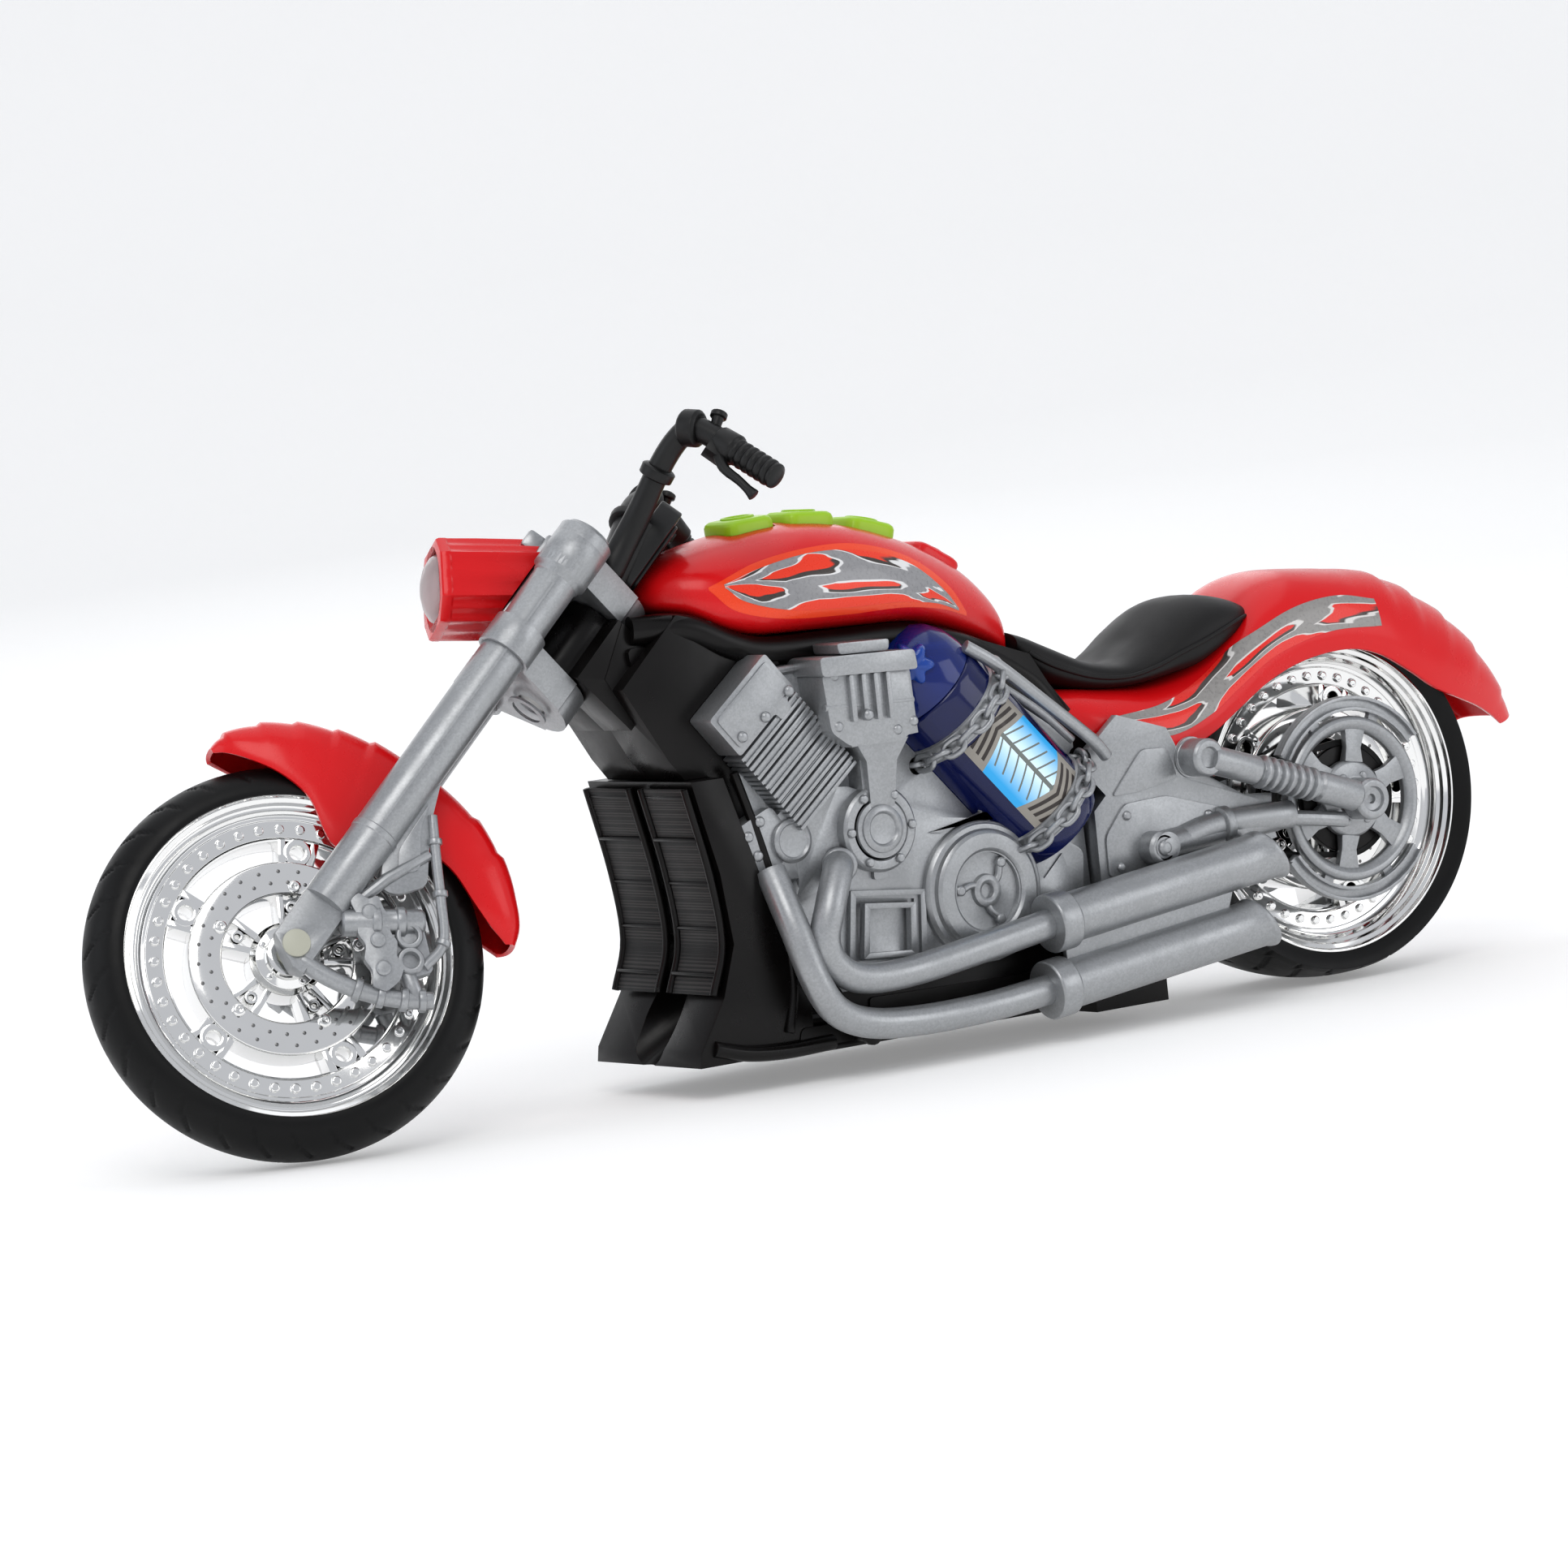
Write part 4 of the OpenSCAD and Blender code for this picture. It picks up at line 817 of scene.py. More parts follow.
def wheel_form(lip, face, rim_r, outside):
    """The plated wheel, both faces alike: half widths of lip, face and hub, and the rim's radius."""
    form = Form()
    # Barrel with stepped lips
    steps = [
        (rim_r - 0.2, lip - 0.9), (rim_r + 0.25, lip - 0.2), (rim_r, lip + 0.25), (rim_r - 0.7, lip + 0.25),
        (rim_r - 1.0, lip - 0.6), (rim_r - 1.9, lip - 0.9), (rim_r - 2.2, lip - 1.7), (rim_r - 3.0,
                lip - 2.0),
        (rim_r - 3.5, face + 1.0), (rim_r - 4.2, face + 0.35), (rim_r - 4.9, face + 0.2), (rim_r - 5.1,
                face),
        (rim_r - 8.4, face), (rim_r - 8.6, face - 0.5), (rim_r - 9.0, face - 0.6),
    ]
    half = steps + [(rim_r - 9.0, 1.2)]
    profile = half + [(r, -y) for r, y in half[::-1]] + [(rim_r - 1.6, -lip + 1.5), (rim_r - 1.6, lip - 1.5)]
    form.turn(profile[::-1], LEFTWARD, 96, 0, closed=True)
    hub = [(2.06, outside), (4.4, outside), (4.6, face + 1.2), (6.2, face + 0.9), (6.6, face),
           (7.2, face - 0.6)]
    form.turn(([(r, y) for r, y in hub] + [(r, -y) for r, y in hub[::-1]])[::-1], LEFTWARD, 48, 0,
              closed=True)
    disc = [(12.6, face - 0.1), (12.9, face + 0.25), (18.7, face + 0.25), (19.0, face - 0.1)]
    form.turn((disc + [(r, -y) for r, y in disc[::-1]])[::-1], LEFTWARD, 96, 0, closed=True)
    spoke = Form()
    for turn in (-8, 8):
        arm = Matrix.Rotation(math.radians(turn), 4, "Z")
        spoke.block(18.4, rim_r - 8.2, -0.75, 0.75, -face + 0.5, face - 0.5, matrix=arm)
        arm = Matrix.Rotation(math.radians(turn * 1.5), 4, "Z")
        spoke.block(4.2, 13.2, -0.65, 0.65, -face + 0.5, face - 0.6, matrix=arm)
    ring = [(1.5, -face + 0.4), (2.7, -face + 0.4), (2.7, face - 0.4), (1.5, face - 0.4)]
    spoke.turn(ring, Matrix.Translation((21.1, 0, 0)), 20, closed=True)
    small = [(0.6, -face + 0.6), (1.25, -face + 0.6), (1.25, face - 0.6), (0.6, face - 0.6)]
    spoke.turn(small, Matrix.Translation((10.3, 0, 0)), 14, closed=True)
    blank = Matrix.Identity(4)
    form.merge(round_copies(spoke, 5, 0.0, "plated"), LEFTWARD)
    for side in (1, -1):
        flip = Matrix.Scale(side, 4, Vector((0, 0, 1)))
        face_at = LEFTWARD @ flip @ Matrix.Translation((0, 0, face))
        dot = Form().turn([(1.0, -0.1), (0.98, 0.35), (0.75, 0.6), (0.45, 0.62), (0, 0.5)], blank, 12)
        form.merge(round_copies(dot, 40, rim_r - 6.8, "plated"), face_at)
        bolt = Form().turn([(1.3, -0.3), (1.3, 0.7), (0.9, 0.95), (0.5, 0.95), (0.4, 0.6), (0, 0.6)], blank,
                           14)
        form.merge(round_copies(bolt, 5, 14.0, "plated"), face_at)
        # Flat dark dots in the darkened plating stand for holes in the face: painted shade, not cut holes
        hole_shade_dot = Form().turn([(0.42, 0.1), (0.42, 0.29), (0, 0.29)], blank, 8)
        for radius, turn in ((14.9, 0.0), (17.1, 0.11)):
            copies = round_copies(hole_shade_dot, 28, radius, "pit", 1)
            form.merge(copies, face_at @ Matrix.Rotation(turn, 4, "Z"))
        lug = Form().turn([(0.7, -0.2), (0.7, 0.4), (0.45, 0.6), (0, 0.6)], blank, 10)
        form.merge(round_copies(lug, 5, 5.4, "plated"),
                   face_at @ Matrix.Translation((0, 0, 0.9)))
    return form


def make_front_wheel(op):
    form = tyre_form(7.8, 6.4, FRONT_TYRE_R, 31.6, op.sipes)
    piece("front_tyre_tread", form, "front", "front_wheel", ["rubber"], ["front_tyre"], slot="tyre_rubber",
          smooth=38)
    form = wheel_form(6.7, 4.4, RIM_R, 8.4)
    piece("front_rim_plated", form, "front", "front_wheel", ["plated", "pit"], ["front_rim"],
          slot="plated_plastic", bevel=0.12)


def make_rear_wheel(op):
    form = Form()
    rows, section = 36, []
    for i in range(rows + 1):
        t = i / rows * 2 - 1
        y = 14.4 * math.copysign(min(1.0, abs(t) * 1.18), t)
        drop = max(0.0, abs(t) - 0.76) / 0.24
        section.append((REAR_TYRE_R - y * y / 130 * 1.15 - 3.6 * drop**2.2,
                        y - math.copysign(1.9 * drop**2.4, t), t))
    verts = []
    turns = op.sipes * 16
    for k in range(turns):
        a = 2 * math.pi * k / turns
        ring = []
        for r, y, t in section:
            phase = (a * op.sipes / (2 * math.pi) + (0.5 if t > 0 else 0) + abs(t) ** 1.4 * 1.1) % 1.0
            cut = 0.6 if phase < 0.07 and 0.1 < abs(t) < 0.8 else 0.0
            ring.append(((r - cut) * math.cos(a), y, (r - cut) * math.sin(a)))
        ring += [(r * math.cos(a), y, r * math.sin(a)) for r, y in ((31.7, 12.2), (31.0, 0), (31.7, -12.2))]
        verts.append(ring[::-1])
    form.loft(verts, closed=True)
    piece("rear_tyre_tread", form, "rear", "rear_wheel", ["rubber"], ["rear_tyre"], slot="tyre_rubber",
          smooth=38)
    form = wheel_form(12.1, 7.6, RIM_R, 13.7)
    piece("rear_rim_plated", form, "rear", "rear_wheel", ["plated", "pit"], ["rear_rim"],
          slot="plated_plastic", bevel=0.12)
    refined("rear_axle", FINISH["steel"], 0.15)
    refined("rear_pulley", FINISH["black"], 0.15)


# ---------------------------------------------------------------- fork
def make_fork(op):
    for side in SIDES:
        turn = FRAMES["fork"] @ SIDES[side]
        at = Matrix.Translation((-FORK_OFFSET, -LEG_Y, 0))
        extra = Form()
        # Cap with its steps over the leg's top, and a moulding line down the outside
        extra.turn([(4.55, 89.8), (4.95, 90.2), (4.95, 91.0), (5.7, 91.4), (5.75, 98.6), (5.35, 99.2),
                    (5.3, 101.2),
                    (4.5, 102.0), (0, 102.0)], at, 40)
        extra.turn([(4.55, 26.0), (4.8, 26.3), (4.8, 27.4), (4.55, 27.7)], at, 40)
        extra.block(-FORK_OFFSET - 0.22, -FORK_OFFSET + 0.22, -LEG_Y - 4.75, -LEG_Y - 4.3, 29, 88)
        refined(f"fork_leg_{side}", FINISH["silver"], 0.3, extra=extra, place=turn)
    refined("upper_clamp", FINISH["silver"], 0.5)
    extra = Form()
    ring = [(3.3, 70.4), (4.2, 70.4), (4.3, 69.9), (3.2, 69.8)]
    extra.turn(ring[::-1], None, 32, closed=True)
    refined("lower_clamp", FINISH["silver"], 0.5, extra=extra, place="fork")
    refined("steering_screw", FINISH["steel"], 0.2)
    refined("front_axle", FINISH["pin"], 0.25)


def make_calipers(op):
    form = Form()
    y = LEG_Y
    gusset = round_outline([(35, 27), (20, 13.4), (18.6, 7.6), (21, 6), (27.4, 6.6), (30.6, 18)], 1.6)
    form.slab(gusset, y - 1, y + 0.5)
    form.slab(round_outline([(31.6, 22.6), (23.4, 14.4), (22.4, 9.8), (26.6, 9.8), (28.6, 18)], 1.2),
              y + 0.4, y + 0.9)
    hose = smooth_line([(31.4, -y - 0.2, 20), (30, -y - 0.6, 10), (29.2, -y - 0.8, 3.4), (27.7, -y - 1, -5),
                        (23, -y - 1.2, -9)], 6)
    form.tube(hose, 1.05, 10)
    for i in (3, 11, 18):
        form.turn([(1.05, -0.7), (1.5, -0.5), (1.5, 0.5), (1.05, 0.7)], aim(hose[i], hose[i + 1] - hose[i]),
                  14)
    form.tube([(29.2, -y, 12.6), (20, -y - 0.5, 9.4), (11.6, -y - 0.4, 5)], 1.2, 12)
    # Caliper plate with scalloped edges and three bosses
    plate = [(11.6, 6), (13.6, 7.4), (15.2, 5.6), (17.2, 6.2), (17.6, 3.4), (18.6, 1.4), (17.8, -1.2),
             (18.9, -3.4),
             (18, -6), (19, -8.6), (17.6, -11), (14.6, -12.6), (12.2, -11), (13, -8.2), (11.8, -5.6), (12.8,
                     -3),
             (11.6, -0.4), (12.6, 2.2)]
    form.slab(round_outline(plate, 0.7, 2), y + 0.8, y + 2.8)
    for x, z in ((14.8, 3.2), (15.2, -2.4), (15, -8)):
        form.boss(x, z, [(1.5, y + 2), (1.5, y + 3.3), (1.1, y + 3.6), (0, y + 3.6)], n=18)
    # Two ring ports beside it
    for x, z in ((21.4, -2.6), (20.6, -7.4)):
        form.boss(x, z, [(2.7, y - 1.6), (2.7, y + 2.2), (2.4, y + 2.7), (1.7, y + 2.7), (1.5, y + 2.1),
                         (1.45, y + 0.6), (0, y + 0.6)], n=26)
    form.slab(round_outline([(17, 0.2), (24.6, -0.6), (24.8, -10.2), (17.6, -10.6)], 1.4), y - 1.6, y + 1.2)
    # Piston housing with collars, above the ports
    body = aim((10.4, -y - 0.6, 2.4), (15, 0, -2.6))
    form.turn([(2.0, -1), (2.6, -0.6), (2.7, 4.6), (3.2, 4.9), (3.2, 6.3), (2.6, 6.6), (2.6, 9.4),
               (3.0, 9.7), (3.0, 11),
               (2.5, 11.4), (2.4, 14.4), (1.9, 15), (0, 15)], body, 26)
    # Lower arm with stacked collars
    low = smooth_line([(0.5, -y, -3.0), (5, -y - 0.2, -7.4), (11, -y - 0.3, -11.4), (18, -y - 0.3, -14.2),
                       (23.4, -y - 0.3, -15.4)], 5)
    form.tube(low, 1.75, 14)
    for i in (9, 12, 15, 18):
        form.turn([(1.7, -0.8), (2.3, -0.6), (2.3, 0.6), (1.7, 0.8)], aim(low[i], low[i + 1] - low[i]), 20)
    form.tube([(19.6, -y - 0.4, -9), (20.6, -y - 0.4, -15)], 1.7, 14)
    form.tube([(13.4, -y - 0.4, -11), (13.6, -y - 0.4, -13.2)], 1.5, 14)
    both_sides("caliper_unit", form, "front", "fork", ["silver"], ["caliper_SIDE"], slot="silver_plastic",
               bevel=0.14)


def make_headlight(op):
    # Shell: an eight-cornered section with lengthwise flutes, open in front
    lamp = Matrix.Translation((45, 0, 68)) @ Matrix.Rotation(math.radians(99.8), 4, "Y")
    h, w, c = 8.4, 10.6, 4.0
    corners = [(-h, -w + c), (-h, w - c), (-h + c, w), (h - c, w), (h, w - c), (h, -w + c), (h - c, -w),
               (-h + c, -w)]
    ring = []
    for i in range(8):
        a, b = Vector(corners[i]), Vector(corners[(i + 1) % 8])
        for k in range(10):
            p = a.lerp(b, k / 10)
            n = Vector((b.y - a.y, a.x - b.x)).normalized()
            ring.append((p, -n, k / 10))
    rows = []
    for d, size, flute in ((0.0, 0.985, 0), (0.6, 1.01, 0), (1.8, 1.01, 0), (2.2, 1.0, 0.25), (8, 1.0, 0.5),
                           (16, 0.985, 0.55),
                           (21.5, 0.97, 0.4), (23.4, 0.92, 0)):
        row = []
        for p, n, t in ring:
            wave = flute * (0.5 - 0.5 * math.cos(t * 4 * math.pi))
            q = p * size + n * -wave * 0.9
            row.append((q.x, q.y, d))
        rows.append(row)
    front = [(r.x * 0.80, r.y * 0.74, 0.0) for r, _, _ in ring]
    bezel = []
    for p, _, _ in ring:
        a = math.atan2(p.y, p.x)
        bezel.append((7.6 * math.cos(a), 7.6 * math.sin(a)))
    rows = [[(x, y, 9.0) for x, y in bezel], [(x, y, 0.9) for x, y in bezel],
            [(x * 1.1, y * 1.1, 0.0) for x, y in bezel],
            front] + rows + [[(p.x * 0.5, p.y * 0.5, 23.6) for p, _, _ in ring]]
    form = Form().loft(rows[::-1], matrix=lamp)
    piece("headlight_shell_fluted", form, "front", "fork", ["red"], ["headlight_shell"], slot="red_plastic",
                bevel=0.18, cut=Form().block(-FORK_OFFSET - 5.3, 40, -40, 40, 30, 110,
                        matrix=FRAMES["front"].inverted() @ FRAMES["fork"]))
    lens = Form().turn([(6.9, 3.4), (7.3, 2.2), (7.25, 1.2), (6.2, -0.4), (4.4, -1.5), (2.3, -2.1),
                        (0, -2.3)][::-1], lamp, 48)
    piece("headlight_lens_domed", lens, "front", "fork", ["lens"], ["headlight_lens"], slot="lens_clear",
          smooth=60)
    dish = Form().turn([(7.2, 8.9), (7.2, 3.6), (5.8, 6.6), (3.2, 8.4), (3.1, 8.9)], lamp, 40, closed=True)
    piece("headlight_reflector", dish, "front", "fork", ["plated"], smooth=50)
    refined("headlight_led", FINISH["lamp"], 0.1)
    # Stepped bracket between the lamp and the legs
    bracket = Form()
    bracket.block(-16.4, -10, -9.6, 9.6, 93.5, 99.4)
    bracket.block(-19.8, -15.8, -8.4, 8.4, 94.6, 98.6)
    bracket.block(-15, -10.6, -9.0, 9.0, 78, 94)
    piece("headlight_bracket", bracket, "fork", "fork", ["silver"], slot="silver_plastic", bevel=0.7)


def make_bars(op):
    form = Form()
    base = BAR_BASE
    stem = smooth_line([(-2.4, 7.6, base + 0.4), (-3.4, 9, base + 7), (-4.4, 11.6, base + 13.2),
                        (-6.2, 16.4, base + 21.6),
                        (-6.4, 20.4, base + 26.6), (-5.2, 23.2, base + 29.0), (-1.6, 25.2,
                                base + 29.2), (1.2, 26.4, base + 28.8)], 5)
    form.tube(stem, [2.9 - 0.5 * min(1, i / 14) for i in range(len(stem))], 14)
    form.turn([(2.7, -1.2), (3.4, -0.9), (3.5, 1.0), (2.9, 1.4)], aim(stem[14], stem[15] - stem[14]), 20)
    form.turn([(3.2, -2.2), (3.7, -1.6), (3.7, 1.2), (3.0, 1.8)], aim(stem[25], stem[26] - stem[25]), 22)
    # Switch pod, its mirror stub and the grip with finger rolls
    form.turn([(2.2, 0), (3.1, 0.5), (3.2, 4.6), (2.6, 5.2)], aim((0.2, 25.6, base + 29), (11, 6.4, -1.8)),
              20)
    form.turn([(1.0, 0), (1.2, 2.4), (1.7, 2.6), (1.7, 3.6), (0.9, 4.0), (0, 4.0)],
              aim((-1.6, 25.4, base + 30.6), (-0.3, -0.1, 1)), 14)
    grip = [(2.5, 0)]
    for i in range(6):
        z = 0.5 + i * 1.65
        grip += [(2.25, z), (2.75, z + 0.45), (2.75, z + 1.15), (2.3, z + 1.55)]
    grip += [(2.6, 10.7), (2.6, 11.4), (1.6, 11.9), (0, 12)]
    form.turn(grip, aim((3.6, 27.6, base + 28.4), (11, 6.2, -1.9)), 20)
    lever = smooth_line([(1.4, 26.4, base + 27), (4.2, 28.6, base + 23.8), (8.2, 30.6, base + 22.6),
                         (12, 31.8, base + 21.4)], 5)
    form.tube(lever, [1.35, 1.3, 1.25, 1.2, 1.15, 1.1, 1.0, 1.0, 0.95, 0.95, 0.9, 0.9, 0.9, 0.95, 1.1, 1.3],
              10)
    form.block(-1.0, 3.6, 23.6, 28.2, base + 25.2, base + 27.4)
    piece("handlebar_right_grip", form, "fork", "fork", ["bar"], ["handlebar_right"], slot="bar_plastic",
          bevel=0.16, smooth=40)
    piece("handlebar_left_grip", form, FRAMES["fork"] @ MIRROR, "fork", ["bar"], ["handlebar_left"],
          slot="bar_plastic", bevel=0.16, smooth=40)
    plate = Form()
    outline = round_outline([(-7.4, 0.2), (7.4, 0.2), (10.4, 13), (6.2, 20.4), (-6.2, 20.4), (-10.4, 13)],
                            2.0)
    face = Matrix.Translation((1.2, 0, base)) @ Matrix.Rotation(math.pi / 2, 4, "Z")
    plate.slab(outline, -3.4, 1.4, matrix=face)
    plate.slab([(x * 0.72, 1.8 + z * 0.8) for x, z in outline], 1.2, 2.2, matrix=face)
    for s in (-1, 1):
        plate.tube([(-0.4, s * 6.4, base + 0.4), (-2.4, s * 8.6, base + 13)], 2.2, 12)
    piece("riser_plate_ribbed", plate, "fork", "fork", ["bar"], ["riser_plate"], slot="bar_plastic",
          bevel=0.4)


# ---------------------------------------------------------------- shells
def shell_section(left, crown, half, n, power):
    """Points from the left edge over the crown to the right edge of a curved sheet."""
    out = []
    for k in range(n + 1):
        a = math.pi * k / n
        c, s = math.cos(a), math.sin(a)
        y = -half * math.copysign(abs(c) ** (2 / power), c)
        h = abs(s) ** (2 / power)
        out.append((left.x + (crown.x - left.x) * h, y, left.y + (crown.y - left.y) * h))
    return out


def sheet_form(sections):
    """An open sheet over rows of points, with a UV map along and across it."""
    form = Form()
    n, m = len(sections[0]), len(sections)
    verts = [v for row in sections for v in row]
    faces, uvs = [], []
    for i in range(m - 1):
        for k in range(n - 1):
            faces.append([i * n + k, i * n + k + 1, (i + 1) * n + k + 1, (i + 1) * n + k])
            uvs.append([(i / (m - 1), k / (n - 1)), (i / (m - 1), (k + 1) / (n - 1)),
                        ((i + 1) / (m - 1), (k + 1) / (n - 1)), ((i + 1) / (m - 1), k / (n - 1))])
    return form.add(verts, faces, uvs=uvs)


def thick_sheet(name, form, place, body, finishes, thickness, replaces):
    obj = linked(name, form.mesh(name, FRAMES[place]))
    for key in finishes:
        obj.data.materials.append(FINISH[key])
    wall = obj.modifiers.new("Wall", "SOLIDIFY")
    wall.thickness = thickness * MM
    wall.offset = -1
    wall.use_even_offset = True
    soften(obj, 0.3, smooth=50)
    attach(obj, body)
    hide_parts(*replaces)
    return obj


def sawtooth(x, teeth):
    """Height of the feather step at x: each tooth rises slowly and drops at once."""
    for a, b in zip(teeth, teeth[1:]):
        if a <= x < b:
            return (x - a) / (b - a)
    return 0.0


def make_rear_fender(op):
    table = [
        ((173, 66.4), (171.5, 65.0), 10), ((180, 66.6), (179, 59.5), 14.5), ((189, 66), (188, 52.8), 17),
        ((199, 65.6), (197.5, 52.3), 18), ((210, 68.2), (207, 54.8), 18), ((220, 74.4), (215, 59.2), 18),
        ((228, 81.4), (223.5, 64), 18.1), ((236, 84.2), (233, 67.2), 18.2), ((246, 83.8), (244, 68.2), 18.2),
        ((255, 82.4), (252.5, 66.3), 18), ((264, 79.4), (260.5, 61.8), 17.6), ((272.5, 74.6), (267.5, 57.4),
                16.6),
        ((281, 68.2), (275, 54.4), 14.8), ((288, 60.4), (281.6, 52), 12.4), ((293, 52.6), (287.4, 49.4),
                9.6),
        ((295.4, 48), (291.2, 47.6), 7.4),
    ]
    line = smooth_line([(c[0], c[1], w) for c, e, w in table], 6)
    edge = smooth_line([(e[0], e[1], 0) for c, e, w in table], 6)
    teeth = (252, 260, 268, 276, 284, 292)
    rows = []
    for c, e in zip(line, edge):
        out = Vector((c.x - WHEELBASE, 0, c.y - REAR_TYRE_R)).normalized()
        lift = 1.0 * sawtooth(c.x, teeth)
        row = shell_section(Vector((e.x, e.y)), Vector((c.x, c.y)), c.z, 32, 2.9)
        rows.append([
            (x + out.x * lift * (1 - abs(2 * k / 32 - 1)) ** 0.6, y,
             z + out.z * lift * (1 - abs(2 * k / 32 - 1)) ** 0.6)
            for k, (x, y, z) in enumerate(row)
        ])
    return thick_sheet("rear_fender_shell", sheet_form(rows), "chassis", "chassis", ["fender_red"],
                       op.rear_wall,
                       ["rear_fender"])


def make_front_fender(op):
    table = [
        (-7, 44.6, 42.2, 5.0), (-2, 46.2, 39.4, 7.0), (6, 46.8, 37.0, 8.6), (18, 47.0, 35.4, 9.1), (30, 47.0,
                32.5, 9.2),
        (38, 47.0, 26.5, 9.2), (46, 47.0, 23.6, 9.2), (56, 47.0, 23.0, 9.2), (63, 47.0, 25.4, 9.2), (71,
                47.0, 31.0, 9.2),
        (80, 46.9, 35.2, 8.9), (88, 46.4, 38.6, 7.8), (94, 45.4, 41.4, 6.0), (97, 44.0, 42.6, 4.0),
    ]
    line = smooth_line([(a, rc, re) for a, rc, re, w in table], 7)
    width = smooth_line([(a, w, 0) for a, rc, re, w in table], 7)
    teeth = (4, 15, 26, 48, 57, 66, 75, 84, 93)
    rows = []
    for p, w in zip(line, width):
        a = math.radians(p.x)
        stepped = 48 <= p.x < 93 or 4 <= p.x < 26
        lift = 0.8 * sawtooth(p.x, teeth) if stepped else 0.0
        row = []
        for k in range(29):
            b = math.pi * k / 28
            c, s = math.cos(b), math.sin(b)
            y = -w.y * math.copysign(abs(c) ** 0.72, c)
            r = p.z + (p.y - p.z) * abs(s) ** 0.72 + lift * (1 - abs(2 * k / 28 - 1)) ** 0.5
            row.append((r * math.cos(a), y, r * math.sin(a)))
        rows.append(row)
    return thick_sheet("front_fender_shell", sheet_form(rows), "front", "fork", ["red"], op.front_wall,
                       ["front_fender"])


TANK_STATIONS = [
    # back, half width, bottom, top
    (84.3, 3.0, 96.6, 99.0), (86, 7.6, 94.4, 101.6), (90, 12.2, 92.6, 103.9), (96, 15.6, 89.2, 105.8), (103,
            17.6, 87.2, 107.2),
    (112, 19.0, 86.7, 108.3), (121, 19.5, 86.4, 108.4), (131, 19.3, 86.1, 107.0), (140, 17.9, 85.6, 104.4),
    (149, 15.0, 83.6, 100.8), (157, 11.6, 81.0, 96.6), (163, 8.8, 79.0, 92.0), (167.6, 6.2, 77.4,
            86.8), (170, 3.2, 76.8, 81.0),
]


def tank_form():
    """The tank as a closed body: flat below, with a full shoulder and a rounded crest."""
    line = smooth_line([(x, w, b) for x, w, b, t in TANK_STATIONS], 6)
    top = smooth_line([(x, t, 0) for x, w, b, t in TANK_STATIONS], 6)
    rings = []
    for p, q in zip(line, top):
        x, w, low, high = p.x, p.y, p.z, q.y
        belt = low + (high - low) * 0.34
        ring = []
        for k in range(48):
            a = 2 * math.pi * k / 48
            c, s = math.cos(a), math.sin(a)
            e = 2 / 2.15 if s > 0 else 2 / 3.2
            y = w * math.copysign(abs(c) ** e, c)
            z = belt + (high - belt) * abs(s) ** e if s > 0 else belt - (belt - low) * abs(s) ** e
            ring.append((x, y, z))
        rings.append(ring)
    return Form().loft(rings)


BUTTONS = [("button_front", 111, 106.2, -3), ("button_middle", 125, 106, 5), ("button_rear", 139, 102.8, 16),
           ("button_red", 153.4, 95.4, 31)]


def button_frame(x, z, lean):
    return Matrix.Translation((x, 0, z)) @ Matrix.Rotation(math.radians(lean), 4, "Y")


def make_tank(op):
    cut = Form()
    for name, x, z, lean in BUTTONS:
        outline = round_outline([(-6.0, -5.75), (6.0, -5.75), (6.0, 5.75), (-6.0, 5.75)], 2.6, 4)
        cut.loft([[(a, b, -5.4) for a, b in outline], [(a, b, 9) for a, b in outline]],
                 matrix=button_frame(x, z, lean))
    piece("fuel_tank_body", tank_form(), "chassis", "chassis", ["red"], ["fuel_tank"], slot="red_plastic",
                 bevel=0.35, smooth=40, cut=cut)
    for name, x, z, lean in BUTTONS:
        place = FRAMES["chassis"] @ button_frame(x, z, lean)
        cap = Form()
        rings = []
        for grow, h in ((0, -3.6), (0, 2.8), (-0.25, 3.5), (-0.8, 3.95), (-1.6, 4.05)):
            rings.append([(a, b, h) for a, b in round_outline(
                [(-5.6 - grow, -5.35 - grow), (5.6 + grow, -5.35 - grow), (5.6 + grow, 5.35 + grow),
                 (-5.6 - grow, 5.35 + grow)], 2.3, 4)])
        cap.loft(rings)
        cap.turn([(2.4, 4.0), (2.6, 4.45), (3.3, 4.45), (3.5, 4.0)], None, 32, closed=True)
        red = name == "button_red"
        piece(name + "_cap", cap, place, name, ["red" if red else "lime"], [name],
              slot="red_button" if red else "lime_plastic", bevel=0.12, smooth=40)


